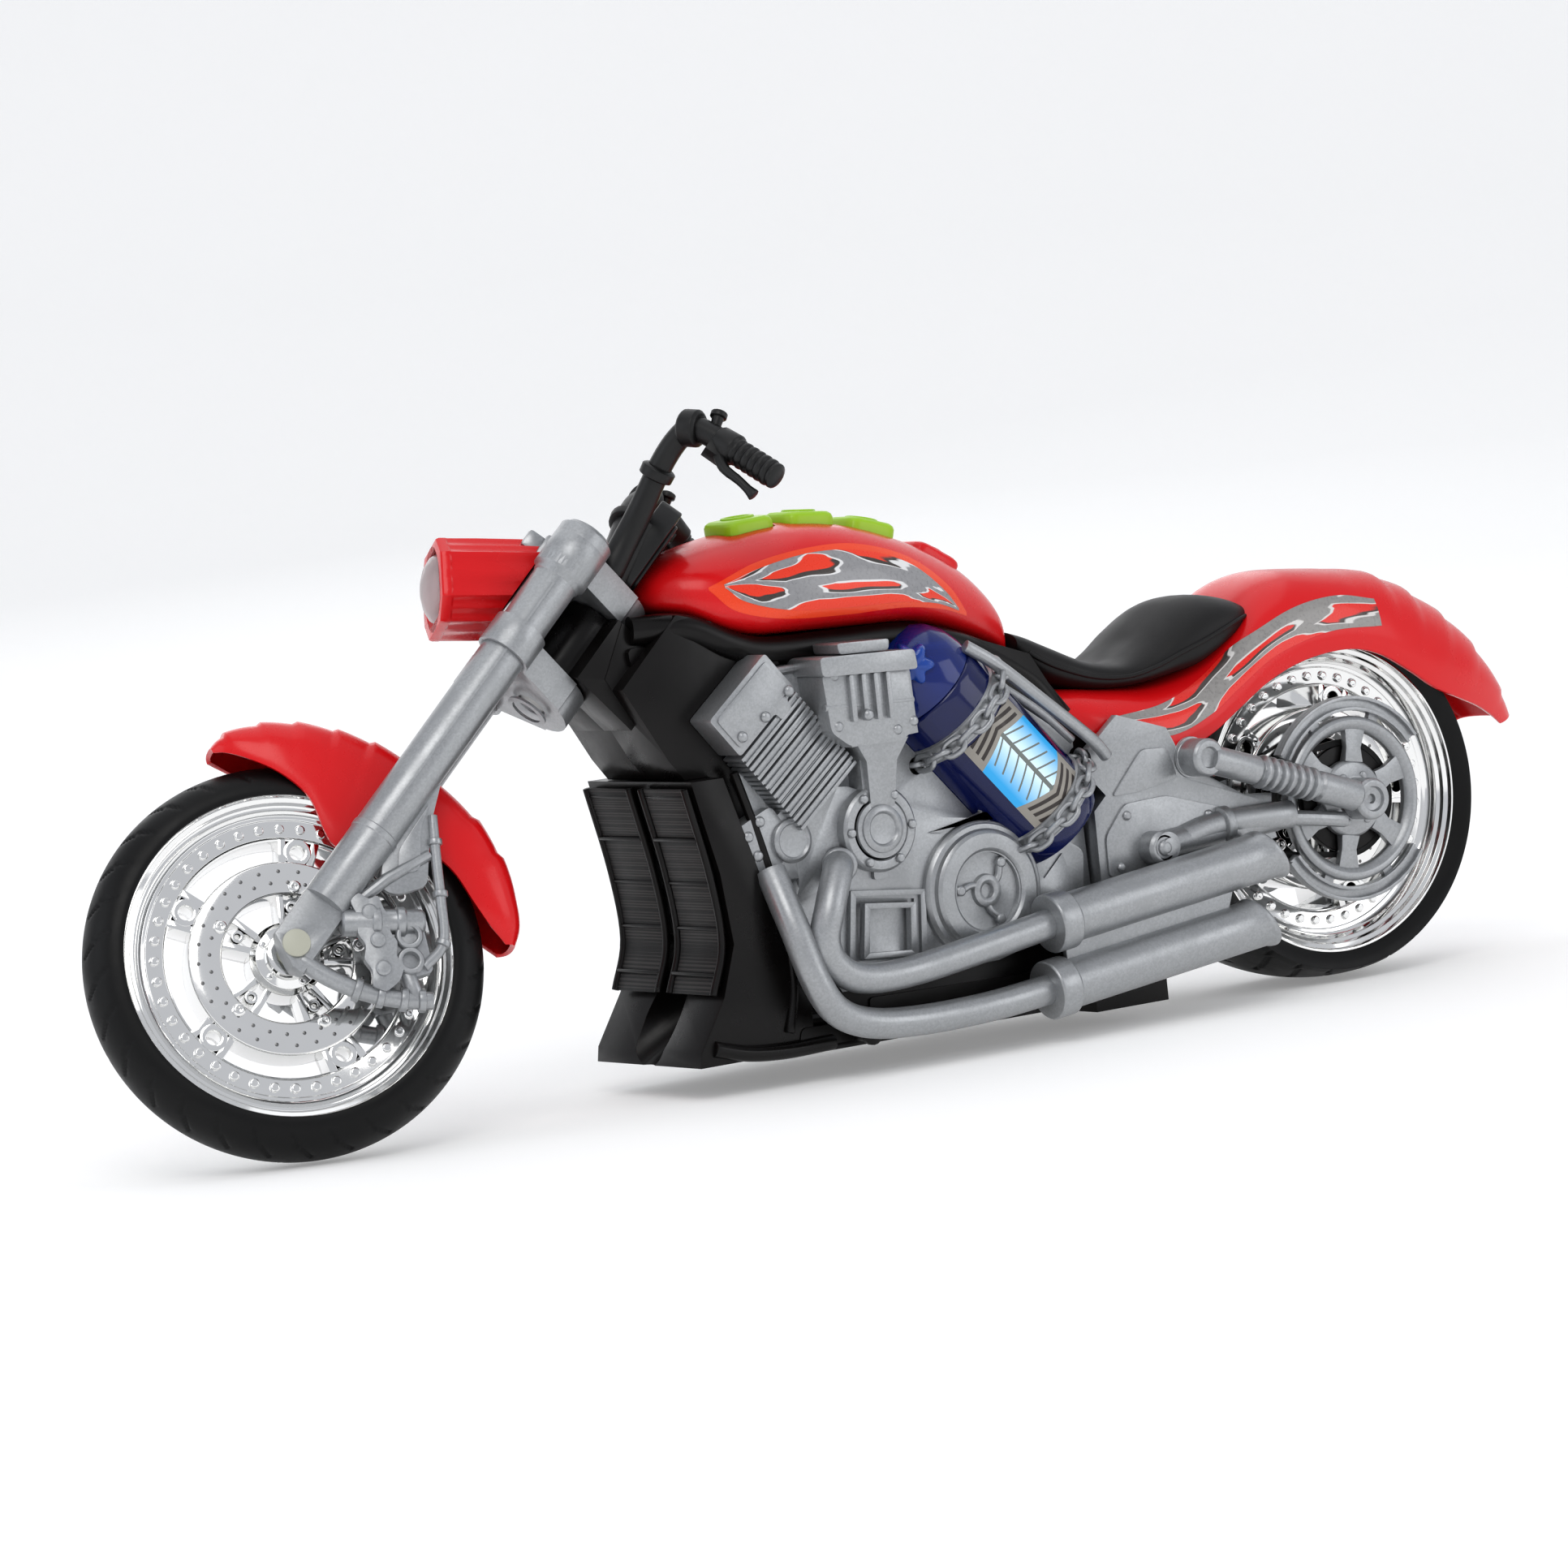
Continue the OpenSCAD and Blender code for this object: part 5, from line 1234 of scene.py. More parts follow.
def make_seat(op):
    table = [  # back, half width, underside, top
        (170.6, 6.4, 76.4, 80.6), (174, 8.2, 71.6, 79.4), (179, 9.4, 68.6, 76.9), (186, 10.8, 66.6,
                73.6), (193, 12.4, 66.2, 72.4),
        (199, 14.0, 66.6, 74.8), (205, 15.2, 67.4, 79.0), (211, 15.7, 68.4, 82.2), (217, 15.2, 71.2, 82.9),
        (222.5, 13.4, 74.2, 81.9), (226.5, 10.4, 76.2, 80.0), (228.8, 6.2, 77.2, 78.8),
    ]
    line = smooth_line([(x, w, b) for x, w, b, t in table], 5)
    top = smooth_line([(x, t, 0) for x, w, b, t in table], 5)
    rings = []
    for p, q in zip(line, top):
        low, high = p.z, q.y
        belt = low + (high - low) * 0.42
        ring = []
        for k in range(40):
            a = 2 * math.pi * k / 40
            c, s = math.cos(a), math.sin(a)
            e = 0.86 if s > 0 else 0.62
            dish = 0.9 * (1 - abs(c)) * min(1, max(0, (p.x - 182) / 12)) * min(1,
                    max(0, (214 - p.x) / 12)) if s > 0 else 0
            z = belt + (high - belt) * abs(s) ** e - dish if s > 0 else belt - (belt - low) * abs(s) ** e
            ring.append((p.x, p.y * math.copysign(abs(c) ** e, c), z))
        rings.append(ring)
    form = Form().loft(rings)
    rim = [(a.x, -a.y - 0.05, a.z + (b.y - a.z) * 0.42) for a, b in zip(line, top)][3:-3]
    for s in (1, -1):
        form.tube([(x, y * s, z) for x, y, z in rim], 0.5, 8)
    piece("seat_saddle", form, "chassis", "chassis", ["seat"], ["seat"], slot="seat_plastic", bevel=0.3,
          smooth=45)


# ---------------------------------------------------------------- frame
def make_frame(op):
    for side in SIDES:
        turn = FRAMES["chassis"] @ SIDES[side]
        extra = Form()
        rail = smooth_line([(77, -9.5, 91.6), (88, -12, 90.8), (97, -13.2, 86.6), (105, -13.4, 84.4),
                            (122, -13.4, 83.9),
                            (138, -13.2, 83.4), (150, -12.4, 80.6), (161, -11.6, 75.6), (169, -11.4,
                                    70.4), (174, -12.6, 63)], 6)
        extra.tube(rail, 2.9, 16)
        down = smooth_line([(107, -12.8, 82.4), (98, -11.8, 78.4), (89, -10.6, 71.4), (83, -10, 66)], 5)
        extra.tube(down, 2.7, 14)
        # Head box: raised arch frames and a V panel
        extra.slab(round_outline([(74.6, 88.6), (88, 87.4), (85.4, 72.8), (79.8, 69.6)], 2.4), 10.2, 11.4)
        extra.slab(round_outline([(76.4, 86.6), (81, 86.2), (82.4, 73.4), (80.4, 72.4)], 1.6), 11.2, 12.2)
        extra.slab(round_outline([(83.4, 86), (87, 85.6), (85.2, 74.6), (84, 74)], 1.4), 11.2, 12.2)
        # Foot peg and the long step beside the belly
        extra.tube([(114.6, -17, 7.6), (114.6, -22.6, 7.6)], [1.7, 1.7], 16)
        extra.turn([(2.1, 0), (2.3, 0.5), (2.3, 1.4), (1.6, 1.9), (0, 1.9)],
                   aim((114.6, -22.4, 7.6), (0, -1, 0)), 18)
        extra.slab(round_outline([(100, 6.4), (186, 6.0), (187, 9.4), (101, 10.4)], 1.2), 17.0, 19.2)
        extra.slab(round_outline([(118, 11.4), (170, 10.4), (170, 13.2), (118, 14)], 1.0), 17.4, 18.6)
        extra.tube([(100, -17.2, 11.5), (186, -17.2, 10.6)], 1.4, 10)
        refined(f"frame_{side}", FINISH["black"], 0.45, extra=extra, place=turn)
    bars = Form()
    for s in (1, -1):
        turn = Matrix.Identity(4) if s == 1 else MIRROR
        screen = Form()
        # Screened columns on the front face with cross bars over them
        front = [(80.8, 60.2), (84.6, 43), (85.8, 29.4), (82.6, 19.6)]
        pts = smooth_line([(x, 0, z) for x, z in front], 6)
        rows = [[(q.x - 0.55, -3.2, q.z), (q.x - 0.5, -17.2, q.z)] for q in pts]
        screen.loft([[r[0], r[1], (r[1][0] + 1.4, r[1][1], r[1][2]),
                      (r[0][0] + 1.4, r[0][1], r[0][2])] for r in rows])
        screen.slots = [1] * len(screen.faces)
        bars.merge(screen, turn)
        edge = Form()
        for y in (-2.2, -17.9):
            edge.tube([(q.x - 0.4, y, q.z) for q in pts], 0.8, 8)
        for z in (58.6, 50.0, 41.2, 32.2, 23.4):
            near = min(pts, key=lambda q: abs(q.z - z))
            edge.tube([(near.x - 0.5, -2.4, z), (near.x - 0.5, -17.8, z)], 0.5, 8)
        # Ridge down the side and the rounded foot
        side_line = smooth_line([(92.4, -17.6, 62), (96.4, -18, 48), (99.4, -18.4, 34), (100.6, -18.8, 20),
                                 (98, -19.4, 10)], 6)
        edge.tube(side_line, 1.0, 8)
        foot = smooth_line([(80.4, -19.0, 9.4), (88, -19.3, 7.4), (97, -19.4, 6.6), (108, -19.2, 6.8)], 5)
        edge.tube(foot, 1.6, 10)
        bars.merge(edge, turn)
    refined("radiator_scoop", FINISH["black"], 0.7)
    piece("radiator_columns", bars, "chassis", "chassis", ["black", "screen"], slot="black_plastic",
          bevel=0.15)
    refined("battery_door", FINISH["black"], 0.3)
    for node in ("door_screw", "case_screws"):
        refined(node, FINISH["steel"], 0.12)
    refined("power_switch", FINISH["black"], 0.2)


# ---------------------------------------------------------------- engine
def make_engine(op):
    both = Form()
    cyl = Matrix.Translation((103, 0, 66)) @ Matrix.Rotation(math.radians(51), 4, "Y")
    fin = Form().block(-0.36, 0.36, -21.0, -14.3, -9.2, 9.2)
    fins = repeated(TREES["row"], fin,
                    {"Count": op.fins, "Step": (20.5 / op.fins, 0.0, 0.0), "Material": FINISH["silver"]})
    both.merge(fins, cyl @ Matrix.Translation((-5.2, 0, 0)))
    head = Form()
    head.slab(round_outline([(-16.4, -9.2), (-6.4, -9.2), (-6.4, 2.6), (-4.4, 2.6), (-4.4, 6.2), (-6.4, 6.2),
                             (-6.4, 9.2), (-16.4, 9.2)], 0.8), 14.2, 21.6)
    head.slab(round_outline([(-15.4, -8.2), (-7.6, -8.2), (-7.6, 8.2), (-15.4, 8.2)], 1.0), 21.4, 22.1)
    both.merge(head, cyl)
    rivet = [(1.15, 0), (1.1, 0.45), (0.75, 0.85), (0, 1.0)]
    for x, z, y in ((104.2, 76.6, 22), (98.2, 72.2, 22), (92.4, 69, 22), (96.6, 51.8, 18.4),
                    (93.6, 49.2, 18.4), (95.4, 45.2, 18.4),
                    (113.4, 78.4, 24.4), (113.2, 68.4, 24.4), (119.4, 70, 26.2), (127, 66.2, 24.4), (131,
                            67.4, 24.4),
                    (101, 47.4, 18.4), (150, 47.4, 17.6), (166, 40.6, 18.4), (165, 26, 18.4)):
        both.turn(rivet, Matrix.Translation((x, -y, z)) @ LEFTWARD, 14)
    # Side block below the cylinder
    both.slab(round_outline([(89.6, 50.4), (99.6, 54.6), (104, 47.6), (99, 40.4), (93.4, 42.6)], 1.4), 14.2,
              18.6)
    both.boss(103.4, 47.2, [(4.4, 14), (4.4, 19.4), (3.6, 19.9), (3.2, 19.4), (0, 19.4)])
    # Air box: top lid, ribs and a stepped lower edge
    both.slab(round_outline([(109.4, 82.4), (131.8, 81.6), (132.2, 77.6), (109.6, 78.6)], 0.9), 14.2, 26.4)
    both.slab(round_outline([(110.4, 79), (131.2, 78.2), (131.6, 66.2), (127.6, 63.8), (115.6, 64.2),
                             (111.4, 67.4)], 1.2), 14.2, 24.9)
    rib = Form().slab(round_outline([(-0.55, -4.6), (0.55, -4.6), (0.55, 4.6), (-0.55, 4.6)], 0.4), 24.4,
                      26.0)
    ribs = repeated(TREES["row"], rib, {"Count": 4, "Step": (2.9, 0.0, -0.1), "Material": FINISH["silver"]})
    both.merge(ribs, Matrix.Translation((116.6, 0, 73.6)))
    both.tube([(110.6, -24.2, 72.4), (131.6, -24.2, 71.6)], 0.8, 10)
    both.slab(round_outline([(114.6, 84.6), (127, 84.2), (126.6, 82), (115, 82.4)], 0.7), 16, 25)
    # Tapered neck and the round cover with its bolts
    neck = [[(x, -y, z) for x, y, z in ring] for ring in (
        ((117.4, 14.5, 65), (130, 14.5, 64.4), (130, 23.8, 64.4), (117.4, 23.8, 65)),
        ((120.4, 14.5, 60.6), (127.6, 14.5, 60.2), (127.6, 22.6, 60.2), (120.4, 22.6, 60.6)),
        ((121, 14.5, 49), (126.2, 14.5, 48.8), (126.2, 21.6, 48.8), (121, 21.6, 49)))]
    both.loft(neck)
    both.boss(123, 47, [(8.6, 14.2), (8.6, 20.8), (8.0, 21.4), (6.4, 21.4), (6.2, 21.0), (4.9, 21.0),
                        (4.7, 22.2), (3.6, 22.6),
                        (3.2, 22.3), (3.0, 21.9), (0, 21.9)], n=48)
    bolt = Form().turn([(0.95, 0), (0.95, 0.5), (0.7, 0.85), (0, 0.9)], None, 12)
    bolts = round_copies(bolt, 6, 7.25, "silver")
    both.merge(bolts, Matrix.Translation((123, -21.4, 47)) @ LEFTWARD)
    both.slab(round_outline([(121.4, 40.4), (124.8, 40.4), (124.8, 37), (121.4, 37)], 0.6), 14.2, 19.6)
    # Clutch cover: stepped rings, a sunk hub and three curved arms
    both.boss(147, 31.4, [(14.0, 14.2), (14.0, 19.6), (13.3, 20.4), (12.4, 20.5), (12.1, 21.4), (11.4, 21.9),
                          (8.6, 22.1),
                          (8.0, 21.6), (7.7, 20.3), (3.4, 20.3), (3.2, 21.3), (2.2, 21.6), (1.5, 21.2), (1.4,
                                  20), (0, 20)], n=64)
    arm = Form().tube(smooth_line([(2.6, 0, 0), (4.2, 0.9, 0.15), (5.6, 2.4, 0.15), (7.6, 2.9, 0)], 5), 0.75,
                      10, up=Vector((0, 0, 1)))
    arm.turn([(1.05, -0.4), (1.05, 0.85), (0.7, 1.1), (0, 1.1)], Matrix.Translation((5.9, 2.7, 0)), 14)
    arms = round_copies(arm, 3, 0.0, "silver")
    both.merge(arms, Matrix.Translation((147, -20.6, 31.4)) @ LEFTWARD @ Matrix.Rotation(0.5, 4, "Z"))
    # Crankcase: a framed window and ribs round it
    frame_line = [(115.6, 35.6), (133.4, 33.6), (132, 18.2), (113.4, 19.6)]
    for inset, y0, y1 in ((0.0, 18.2, 19.5), (0.32, 18.4, 20.2)):
        c = Vector((123.6, 26.8))
        shrink = [tuple(Vector(p).lerp(c, inset)) for p in frame_line]
        inner = [tuple(Vector(p).lerp(c, inset + 0.14)) for p in frame_line]
        for i in range(4):
            a, b = Vector(shrink[i]), Vector(shrink[(i + 1) % 4])
            d, e = Vector(inner[(i + 1) % 4]), Vector(inner[i])
            both.slab([tuple(a), tuple(b), tuple(d), tuple(e)], y0, y1)
    both.slab(round_outline([(135.6, 44.6), (158, 45.6), (164, 41), (160.4, 38.6), (150, 47), (139, 44)],
                            1.0), 17.6, 19.2)
    both.slab(round_outline([(158, 22), (172, 24), (173.6, 36), (163, 42.4), (161, 32)], 1.6), 14.2, 18.0)
    # Raised lip along the top of the engine's bay
    lip = smooth_line([(98, -15.6, 77.6), (104, -15.8, 80.2), (138, -15.8, 79.6), (150, -15.6, 76.2),
                       (166, -15.6, 66), (175, -15.6, 58)], 5)
    both.tube(lip, 1.0, 10)
    for side in SIDES:
        refined(f"engine_{side}", FINISH["silver"], 0.3)
    both_sides("engine_detail", both, "chassis", "chassis", ["silver"], slot="silver_plastic", bevel=0.22,
               smooth=38)


# ---------------------------------------------------------------- pipes
def silencer(p, q, r, slant):
    """A straight pipe with a collar, a rolled lip and a hollow slanted mouth."""
    p, q = Vector(p), Vector(q)
    axis = (q - p).normalized()
    up = (Vector((0, 0, 1)) - axis * axis.z).normalized()
    side = axis.cross(up)
    length = (q - p).length
    rows = [(0, r - 1.6, 0), (0, r + 0.7, 0), (0.4, r + 1.0, 0), (4.6, r + 1.0, 0), (5.0, r + 0.6, 0),
            (5.4, r, 0), (length * 0.5, r, 0),
            (length - 8, r, 0), (length - 2.4, r, 1), (length - 1.6, r + 0.35, 1), (length - 0.6, r + 0.45,
                    1), (length, r + 0.1, 1),
            (length - 0.2, r - 0.7, 1), (length - 2, r - 1.0, 1), (length - 9, r - 1.1, 1), (length - 16,
                    r - 1.3, 0.3), (length - 17, 0.4, 0)]
    rings = []
    for s, radius, k in rows:
        ring = []
        for i in range(36):
            a = 2 * math.pi * i / 36
            u, v = math.cos(a), math.sin(a)
            ring.append(p + axis * (s + k * slant * radius * u) + (up * u + side * v) * radius)
        rings.append(ring)
    return Form().loft(rings[::-1])


def make_exhaust(op):
    form = Form()
    y = -27
    upper = smooth_line([(113.4, -19.4, 41), (110, y + 3, 40.4), (105.4, y, 34), (103.4, y, 27.6),
                         (105.4, y, 22.4), (111, y, 19.2),
                         (122, y, 18.8), (140, y, 21), (157, y, 23.5)], 6)
    form.tube(upper, 3.05, 20)
    lower = smooth_line([(97.6, -19, 42), (98.2, y + 2, 30), (100.4, y, 20), (104.6, y, 13.6),
                         (112, y, 10.2), (124, y, 9.0), (140, y, 9.2), (156, y, 10.6)], 6)
    form.tube(lower, 3.05, 20)
    form.merge(silencer((156.6, y, 23.4), (213.4, y, 30.0), 5.05, -op.slant))
    form.merge(silencer((154.8, y, 10.3), (209.6, y, 16.6), 5.05, -op.slant))
    form.slab(round_outline([(160, 23), (204, 27.6), (200, 17), (160, 12.6)], 1.0), 26.3, 27.7)
    stub = [(2.2, 0), (3.6, 0.4), (3.6, 1.6), (3.1, 2.0)]
    form.turn(stub, aim((113.6, -19.0, 41), (-0.4, -1, 0)), 24)
    both_sides("exhaust_pipes", form, "chassis", "chassis", ["silver"], ["exhaust_SIDE"],
               slot="silver_plastic",
               bevel=0.12, smooth=45)


# ---------------------------------------------------------------- canister
def canister_place():
    """Z along the canister from its dome; its axis slopes down to the back."""
    slope = math.radians(48.5)
    return aim((139.5, -14, 75), (math.cos(slope), 0, -math.sin(slope)))


def make_canister(op):
    place = canister_place()
    keep = Form().block(60, 260, -14.3, 40, -20, 140)
    body = Form().turn([(0, 46.5), (8, 46.2), (11, 44.8), (11.9, 42.4), (12, 38), (12, 4), (11.7, 2.8),
                        (11.2, 2.4), (0, 2.4)][::-1], place, 64)
    dome = Form().turn([(11.4, 2.3), (11.3, 0), (10.6, -3.2), (9.0, -6.2), (6.6, -8.4), (3.6, -9.6),
                        (0, -10)][::-1], place, 56)
    knob = Form()
    petals = []
    for k in range(60):
        a = 2 * math.pi * k / 60
        petals.append((math.cos(a) * (3.7 + 0.7 * math.cos(6 * a)),
                       math.sin(a) * (3.7 + 0.7 * math.cos(6 * a))))
    knob_at = Matrix.Translation((133.6, -22.4, 78.2)) @ Matrix.Rotation(math.radians(98), 4,
            "X") @ Matrix.Rotation(-0.5, 4, "Y")
    knob.loft([[(a * s, b * s, h) for a, b in petals] for s,
               h in ((1.0, -3.4), (1.02, 0.4), (0.9, 1.6), (0.5, 2.2), (0.12, 2.4))],
              matrix=knob_at)
    band = Form()
    for z in (11, 39):
        band.turn([(11.9, z - 2.2), (12.5, z - 1.9), (12.7, z), (12.5, z + 1.9), (11.9, z + 2.2)], place, 64,
                  closed=True)
    rod = Form()
    rod.tube(smooth_line([(146.6, -22.4, 80.4), (153.5, -23.2, 75.7), (164, -23.4, 67), (174.4, -23.2, 58.4),
                          (178.6, -22, 54.4)], 5), 1.35, 12)
    rod.merge(repeated_chain(place, (11, 39), op.links))
    # Label wrapped round the canister's outer side
    label = Form()
    verts, faces, uvs = [], [], []
    nu, nv = 24, 16
    for i in range(nu + 1):
        for j in range(nv + 1):
            u, v = i / nu, j / nv
            a = math.radians(-38 + 76 * v)
            z = 13.6 + 23.2 * u
            side = Matrix.Rotation(a, 3, "Z") @ Vector((0, 1, 0))
            verts.append((side.x * 12.1, side.y * 12.1, z))
    for i in range(nu):
        for j in range(nv):
            f = [i * (nv + 1) + j, i * (nv + 1) + j + 1, (i + 1) * (nv + 1) + j + 1, (i + 1) * (nv + 1) + j]
            faces.append(f)
            uvs.append([((k // (nv + 1)) / nu, (k % (nv + 1)) / nv) for k in f])
    outward = (place.to_3x3() @ Vector((0, 1, 0)))
    turn = Matrix.Identity(4) if outward.y < 0 else Matrix.Rotation(math.pi, 4, "Z")
    label.add(verts, faces, 0, place @ turn, uvs)
    for side in SIDES:
        place_side = FRAMES["chassis"] @ SIDES[side]
        piece(f"canister_{side}_body", clipped(body, keep), place_side, "chassis", ["blue"],
              [f"canister_{side}"], bevel=0.2, slot="blue_clear")
        piece(f"canister_{side}_dome", clipped(dome, keep), place_side, "chassis", ["dome"], smooth=50,
              slot="blue_clear")
        piece(f"canister_{side}_knob", knob, place_side, "chassis", ["knob"], bevel=0.3, smooth=50,
              slot="blue_clear")
        piece(f"chain_bands_{side}_links", clipped(band, keep), place_side, "chassis", ["silver"],
              [f"chain_bands_{side}"], slot="silver_plastic", smooth=40)
        piece(f"canister_{side}_rod", rod, place_side, "chassis", ["silver"], slot="silver_plastic",
              bevel=0.1, smooth=50)
        obj = linked(f"canister_{side}_label", label.mesh("label", place_side))
        obj.data.materials.append(FINISH["label"])
        wall = obj.modifiers.new("Paper", "SOLIDIFY")
        wall.thickness, wall.offset = 0.1 * MM, 1
        soften(obj, 0, smooth=60)
        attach(obj, "chassis")


def clipped(form, knife):
    """The form with everything inside the knife taken away."""
    a = linked("a", form.mesh("a", Matrix.Identity(4)))
    b = linked("b", knife.mesh("b", Matrix.Identity(4)))
    mod = a.modifiers.new("Cut", "BOOLEAN")
    mod.operation, mod.solver, mod.object = "DIFFERENCE", "EXACT", b
    baked(a)
    out = Form().add([v.co.copy() for v in a.data.vertices], [list(p.vertices) for p in a.data.polygons])
    bpy.data.objects.remove(a)
    bpy.data.objects.remove(b)
    return out


def repeated_chain(place, heights, links):
    """Two chains over the canister's outer half."""
    out = Form()
    link = Form()
    oval = smooth_line([(0, 0, -2.5), (1.35, 0, -1.4), (1.35, 0, 1.4), (0, 0, 2.5), (-1.35, 0, 1.4),
                        (-1.35, 0, -1.4)], 4, True)
    rings = []
    for i, q in enumerate(oval):
        t = (oval[(i + 1) % len(oval)] - oval[i - 1]).normalized()
        a = AXIS_Y.cross(t).normalized()
        turns = [(math.cos(2 * math.pi * k / 8), math.sin(2 * math.pi * k / 8)) for k in range(8)]
        rings.append([q + LINK_WIRE_R * (c * a + s * AXIS_Y) for c, s in turns])
    link.loft(rings, closed=True)
    outward = place.to_3x3() @ Vector((0, 1, 0))
    start = 0 if outward.y < 0 else 180
    for z in heights:
        curve = bpy.data.curves.new("chain path", "CURVE")
        curve.dimensions = "3D"
        line = curve.splines.new("POLY")
        angles = [math.radians(a + start) for a in range(-88, 89, 8)]
        points = [place @ Vector((CHAIN_R * math.sin(a), CHAIN_R * math.cos(a), z)) for a in angles]
        line.points.add(len(points) - 1)
        for p, q in zip(line.points, points):
            p.co = (*q, 1)
        path = linked("chain path", curve)
        out.merge(repeated(TREES["chain"], link,
                           {"Path": path, "Links": links, "Material": FINISH["silver"]}))
        bpy.data.objects.remove(path)
    return out


# ---------------------------------------------------------------- rear end
def arc_slab(r0, r1, a0, a1, y0, y1, steps=14):
    form = Form()
    angles = [math.radians(a0 + (a1 - a0) * i / steps) for i in range(steps + 1)]
    outer = [(r1 * math.cos(a), r1 * math.sin(a)) for a in angles]
    inner = [(r0 * math.cos(a), r0 * math.sin(a)) for a in angles]
    return form.slab(outer + inner[::-1], y0, y1)


def make_rear_covers(op):
    form = Form()
    y = 17.2
    form.turn([(14.0, y), (14.0, y + 1.2), (14.6, y + 2.0), (15.4, y + 2.6), (16.2, y + 2.7),
               (16.9, y + 2.1), (17.1, y + 1.0), (17.0, y)],
              LEFTWARD, 72, closed=True)
    form.turn([(2.1, y), (2.1, y + 3.0), (4.6, y + 3.1), (5.6, y + 2.5), (7.4, y + 2.2), (8.0, y + 1.4),
               (8.0, y)], LEFTWARD, 56, closed=True)
    spoke = Form()
    ring = []
    for r, half, h in ((7.6, 2.3, 1.9), (10.5, 1.9, 1.5), (14.4, 2.6, 1.7)):
        ring.append([(r, -half, y), (r, half, y), (r, half, y + h), (r, -half, y + h)])
    spoke.loft(ring[::-1])
    form.merge(round_copies(spoke, 6, 0.0, "silver"), LEFTWARD @ Matrix.Rotation(0.35, 4, "Z"))
    knob = Form().turn([(0.9, 0), (0.9, 0.4), (0.5, 0.6), (0, 0.6)], None, 12)
    form.merge(round_copies(knob, 6, 5.2, "silver"), LEFTWARD @ Matrix.Translation((0, 0, y + 2.6)))
    for a0, a1 in ((32, 148), (212, 322)):
        form.merge(arc_slab(18.2, 21.2, a0, a1, y, y + 1.6))
        form.merge(arc_slab(18.2, 18.9, a0, a1, y + 1.4, y + 2.5))
        form.merge(arc_slab(20.5, 21.2, a0, a1, y + 1.4, y + 2.5))
    for a in (64, 116, 244, 296):
        form.merge(arc_slab(16.4, 18.8, a - 4, a + 4, y, y + 1.4, 3))
    both_sides("axle_cover", form, "rear", "chassis", ["silver"],
               {"left": ["belt_cover"],
                "right": ["disc_cover"]}, slot="silver_plastic", bevel=0.12, smooth=42)


def make_swingarm(op):
    form = Form()
    y = -20.3
    form.tube(smooth_line([(188.6, y, 34.2), (196, y, 34.9), (203, y - 0.2, 36.4), (211, y - 0.4, 36.9),
                           (224, y - 0.6, 36.6)], 5),
              [2.7] * 6 + [2.9] * 15, 18)
    form.turn([(2.9, -1.2), (3.8, -0.8), (3.8, 1.0), (2.9, 1.4)],
              aim((207, y - 0.3, 36.7), (1, -0.02, 0.05)), 24)
    form.tube(smooth_line([(223, y - 0.8, 36.0), (230, y - 1.4, 35), (237, y - 1.9, 33.8)], 4), 1.6, 12)
    for x, z, r, top in ((189, 34.4, 3.4, 25.0), (201.4, 51.2, 4.3, 20.6)):
        form.boss(x, z, [(r, 17.4), (r, top - 1.2), (r - 0.7, top - 0.5), (r - 1.3, top - 0.5),
                         (r - 1.5, top - 0.9), (1.7, top - 0.9),
                         (1.6, top), (0.9, top + 0.5), (0, top + 0.6)], n=30)
    # Raised triangular panel with its fold
    form.slab(round_outline([(178, 29.6), (178, 38), (183.4, 44), (194, 44.4), (209, 39.8), (212, 38.2),
                             (190, 30.4)], 1.4), 18.6, 20.0)
    form.slab(round_outline([(180.6, 45.8), (189, 54.4), (195.4, 54), (197.4, 47.6), (188, 46)], 1.2), 18.6,
              19.9)
    form.tube(smooth_line([(177.4, -19.9, 27.4), (188, -19.9, 29), (200, -19.9, 31), (214, -19.9, 33)], 4),
              0.9, 8)
    for x, z in ((181, 31.4), (183.6, 41.6), (204, 39.2)):
        form.boss(x, z, [(1.0, 19.6), (1.0, 20.3), (0.6, 20.7), (0, 20.7)], n=14)
    for side in SIDES:
        refined(f"swingarm_{side}", FINISH["silver"], 0.35)
    both_sides("swingarm_detail", form, "chassis", "chassis", ["silver"], slot="silver_plastic", bevel=0.18,
               smooth=42)
    # Shock: ring ends, damper body, bellows and rod
    shock = Form()
    top, low = Vector((201.4, -23.9, 51.2)), Vector((242, -23.9, 37.5))
    at = aim(top, low - top)
    length = (low - top).length
    profile = [(0, 1.5), (2.9, 1.5), (3.0, 2.2), (3.0, 13.2), (2.6, 13.8)]
    for i in range(7):
        z = 14.2 + i * 2.1
        profile += [(2.5, z), (3.5, z + 0.35), (3.5, z + 1.1), (2.5, z + 1.5)]
    profile += [(2.6, 29.2), (3.2, 29.8), (3.2, length - 3.4), (2.6, length - 2.6), (0, length - 2.6)]
    shock.turn(profile, at, 28)
    shock.boss(top.x, top.z, [(3.9, 20.4), (3.9, 25.4), (3.4, 26.0), (2.2, 26.1), (2.0, 25.2), (0, 25.2)],
               n=32)
    shock.boss(low.x, low.z,
               [(4.3, 20.9), (4.3, 25.6), (3.8, 26.3), (2.6, 26.3), (2.4, 25.4), (1.0, 25.4), (0.9, 24.4),
                (0, 24.4)], n=32)
    both_sides("shock_absorber", shock, "chassis", "chassis", ["silver"], ["shock_SIDE"],
               slot="silver_plastic", bevel=0.1, smooth=42)


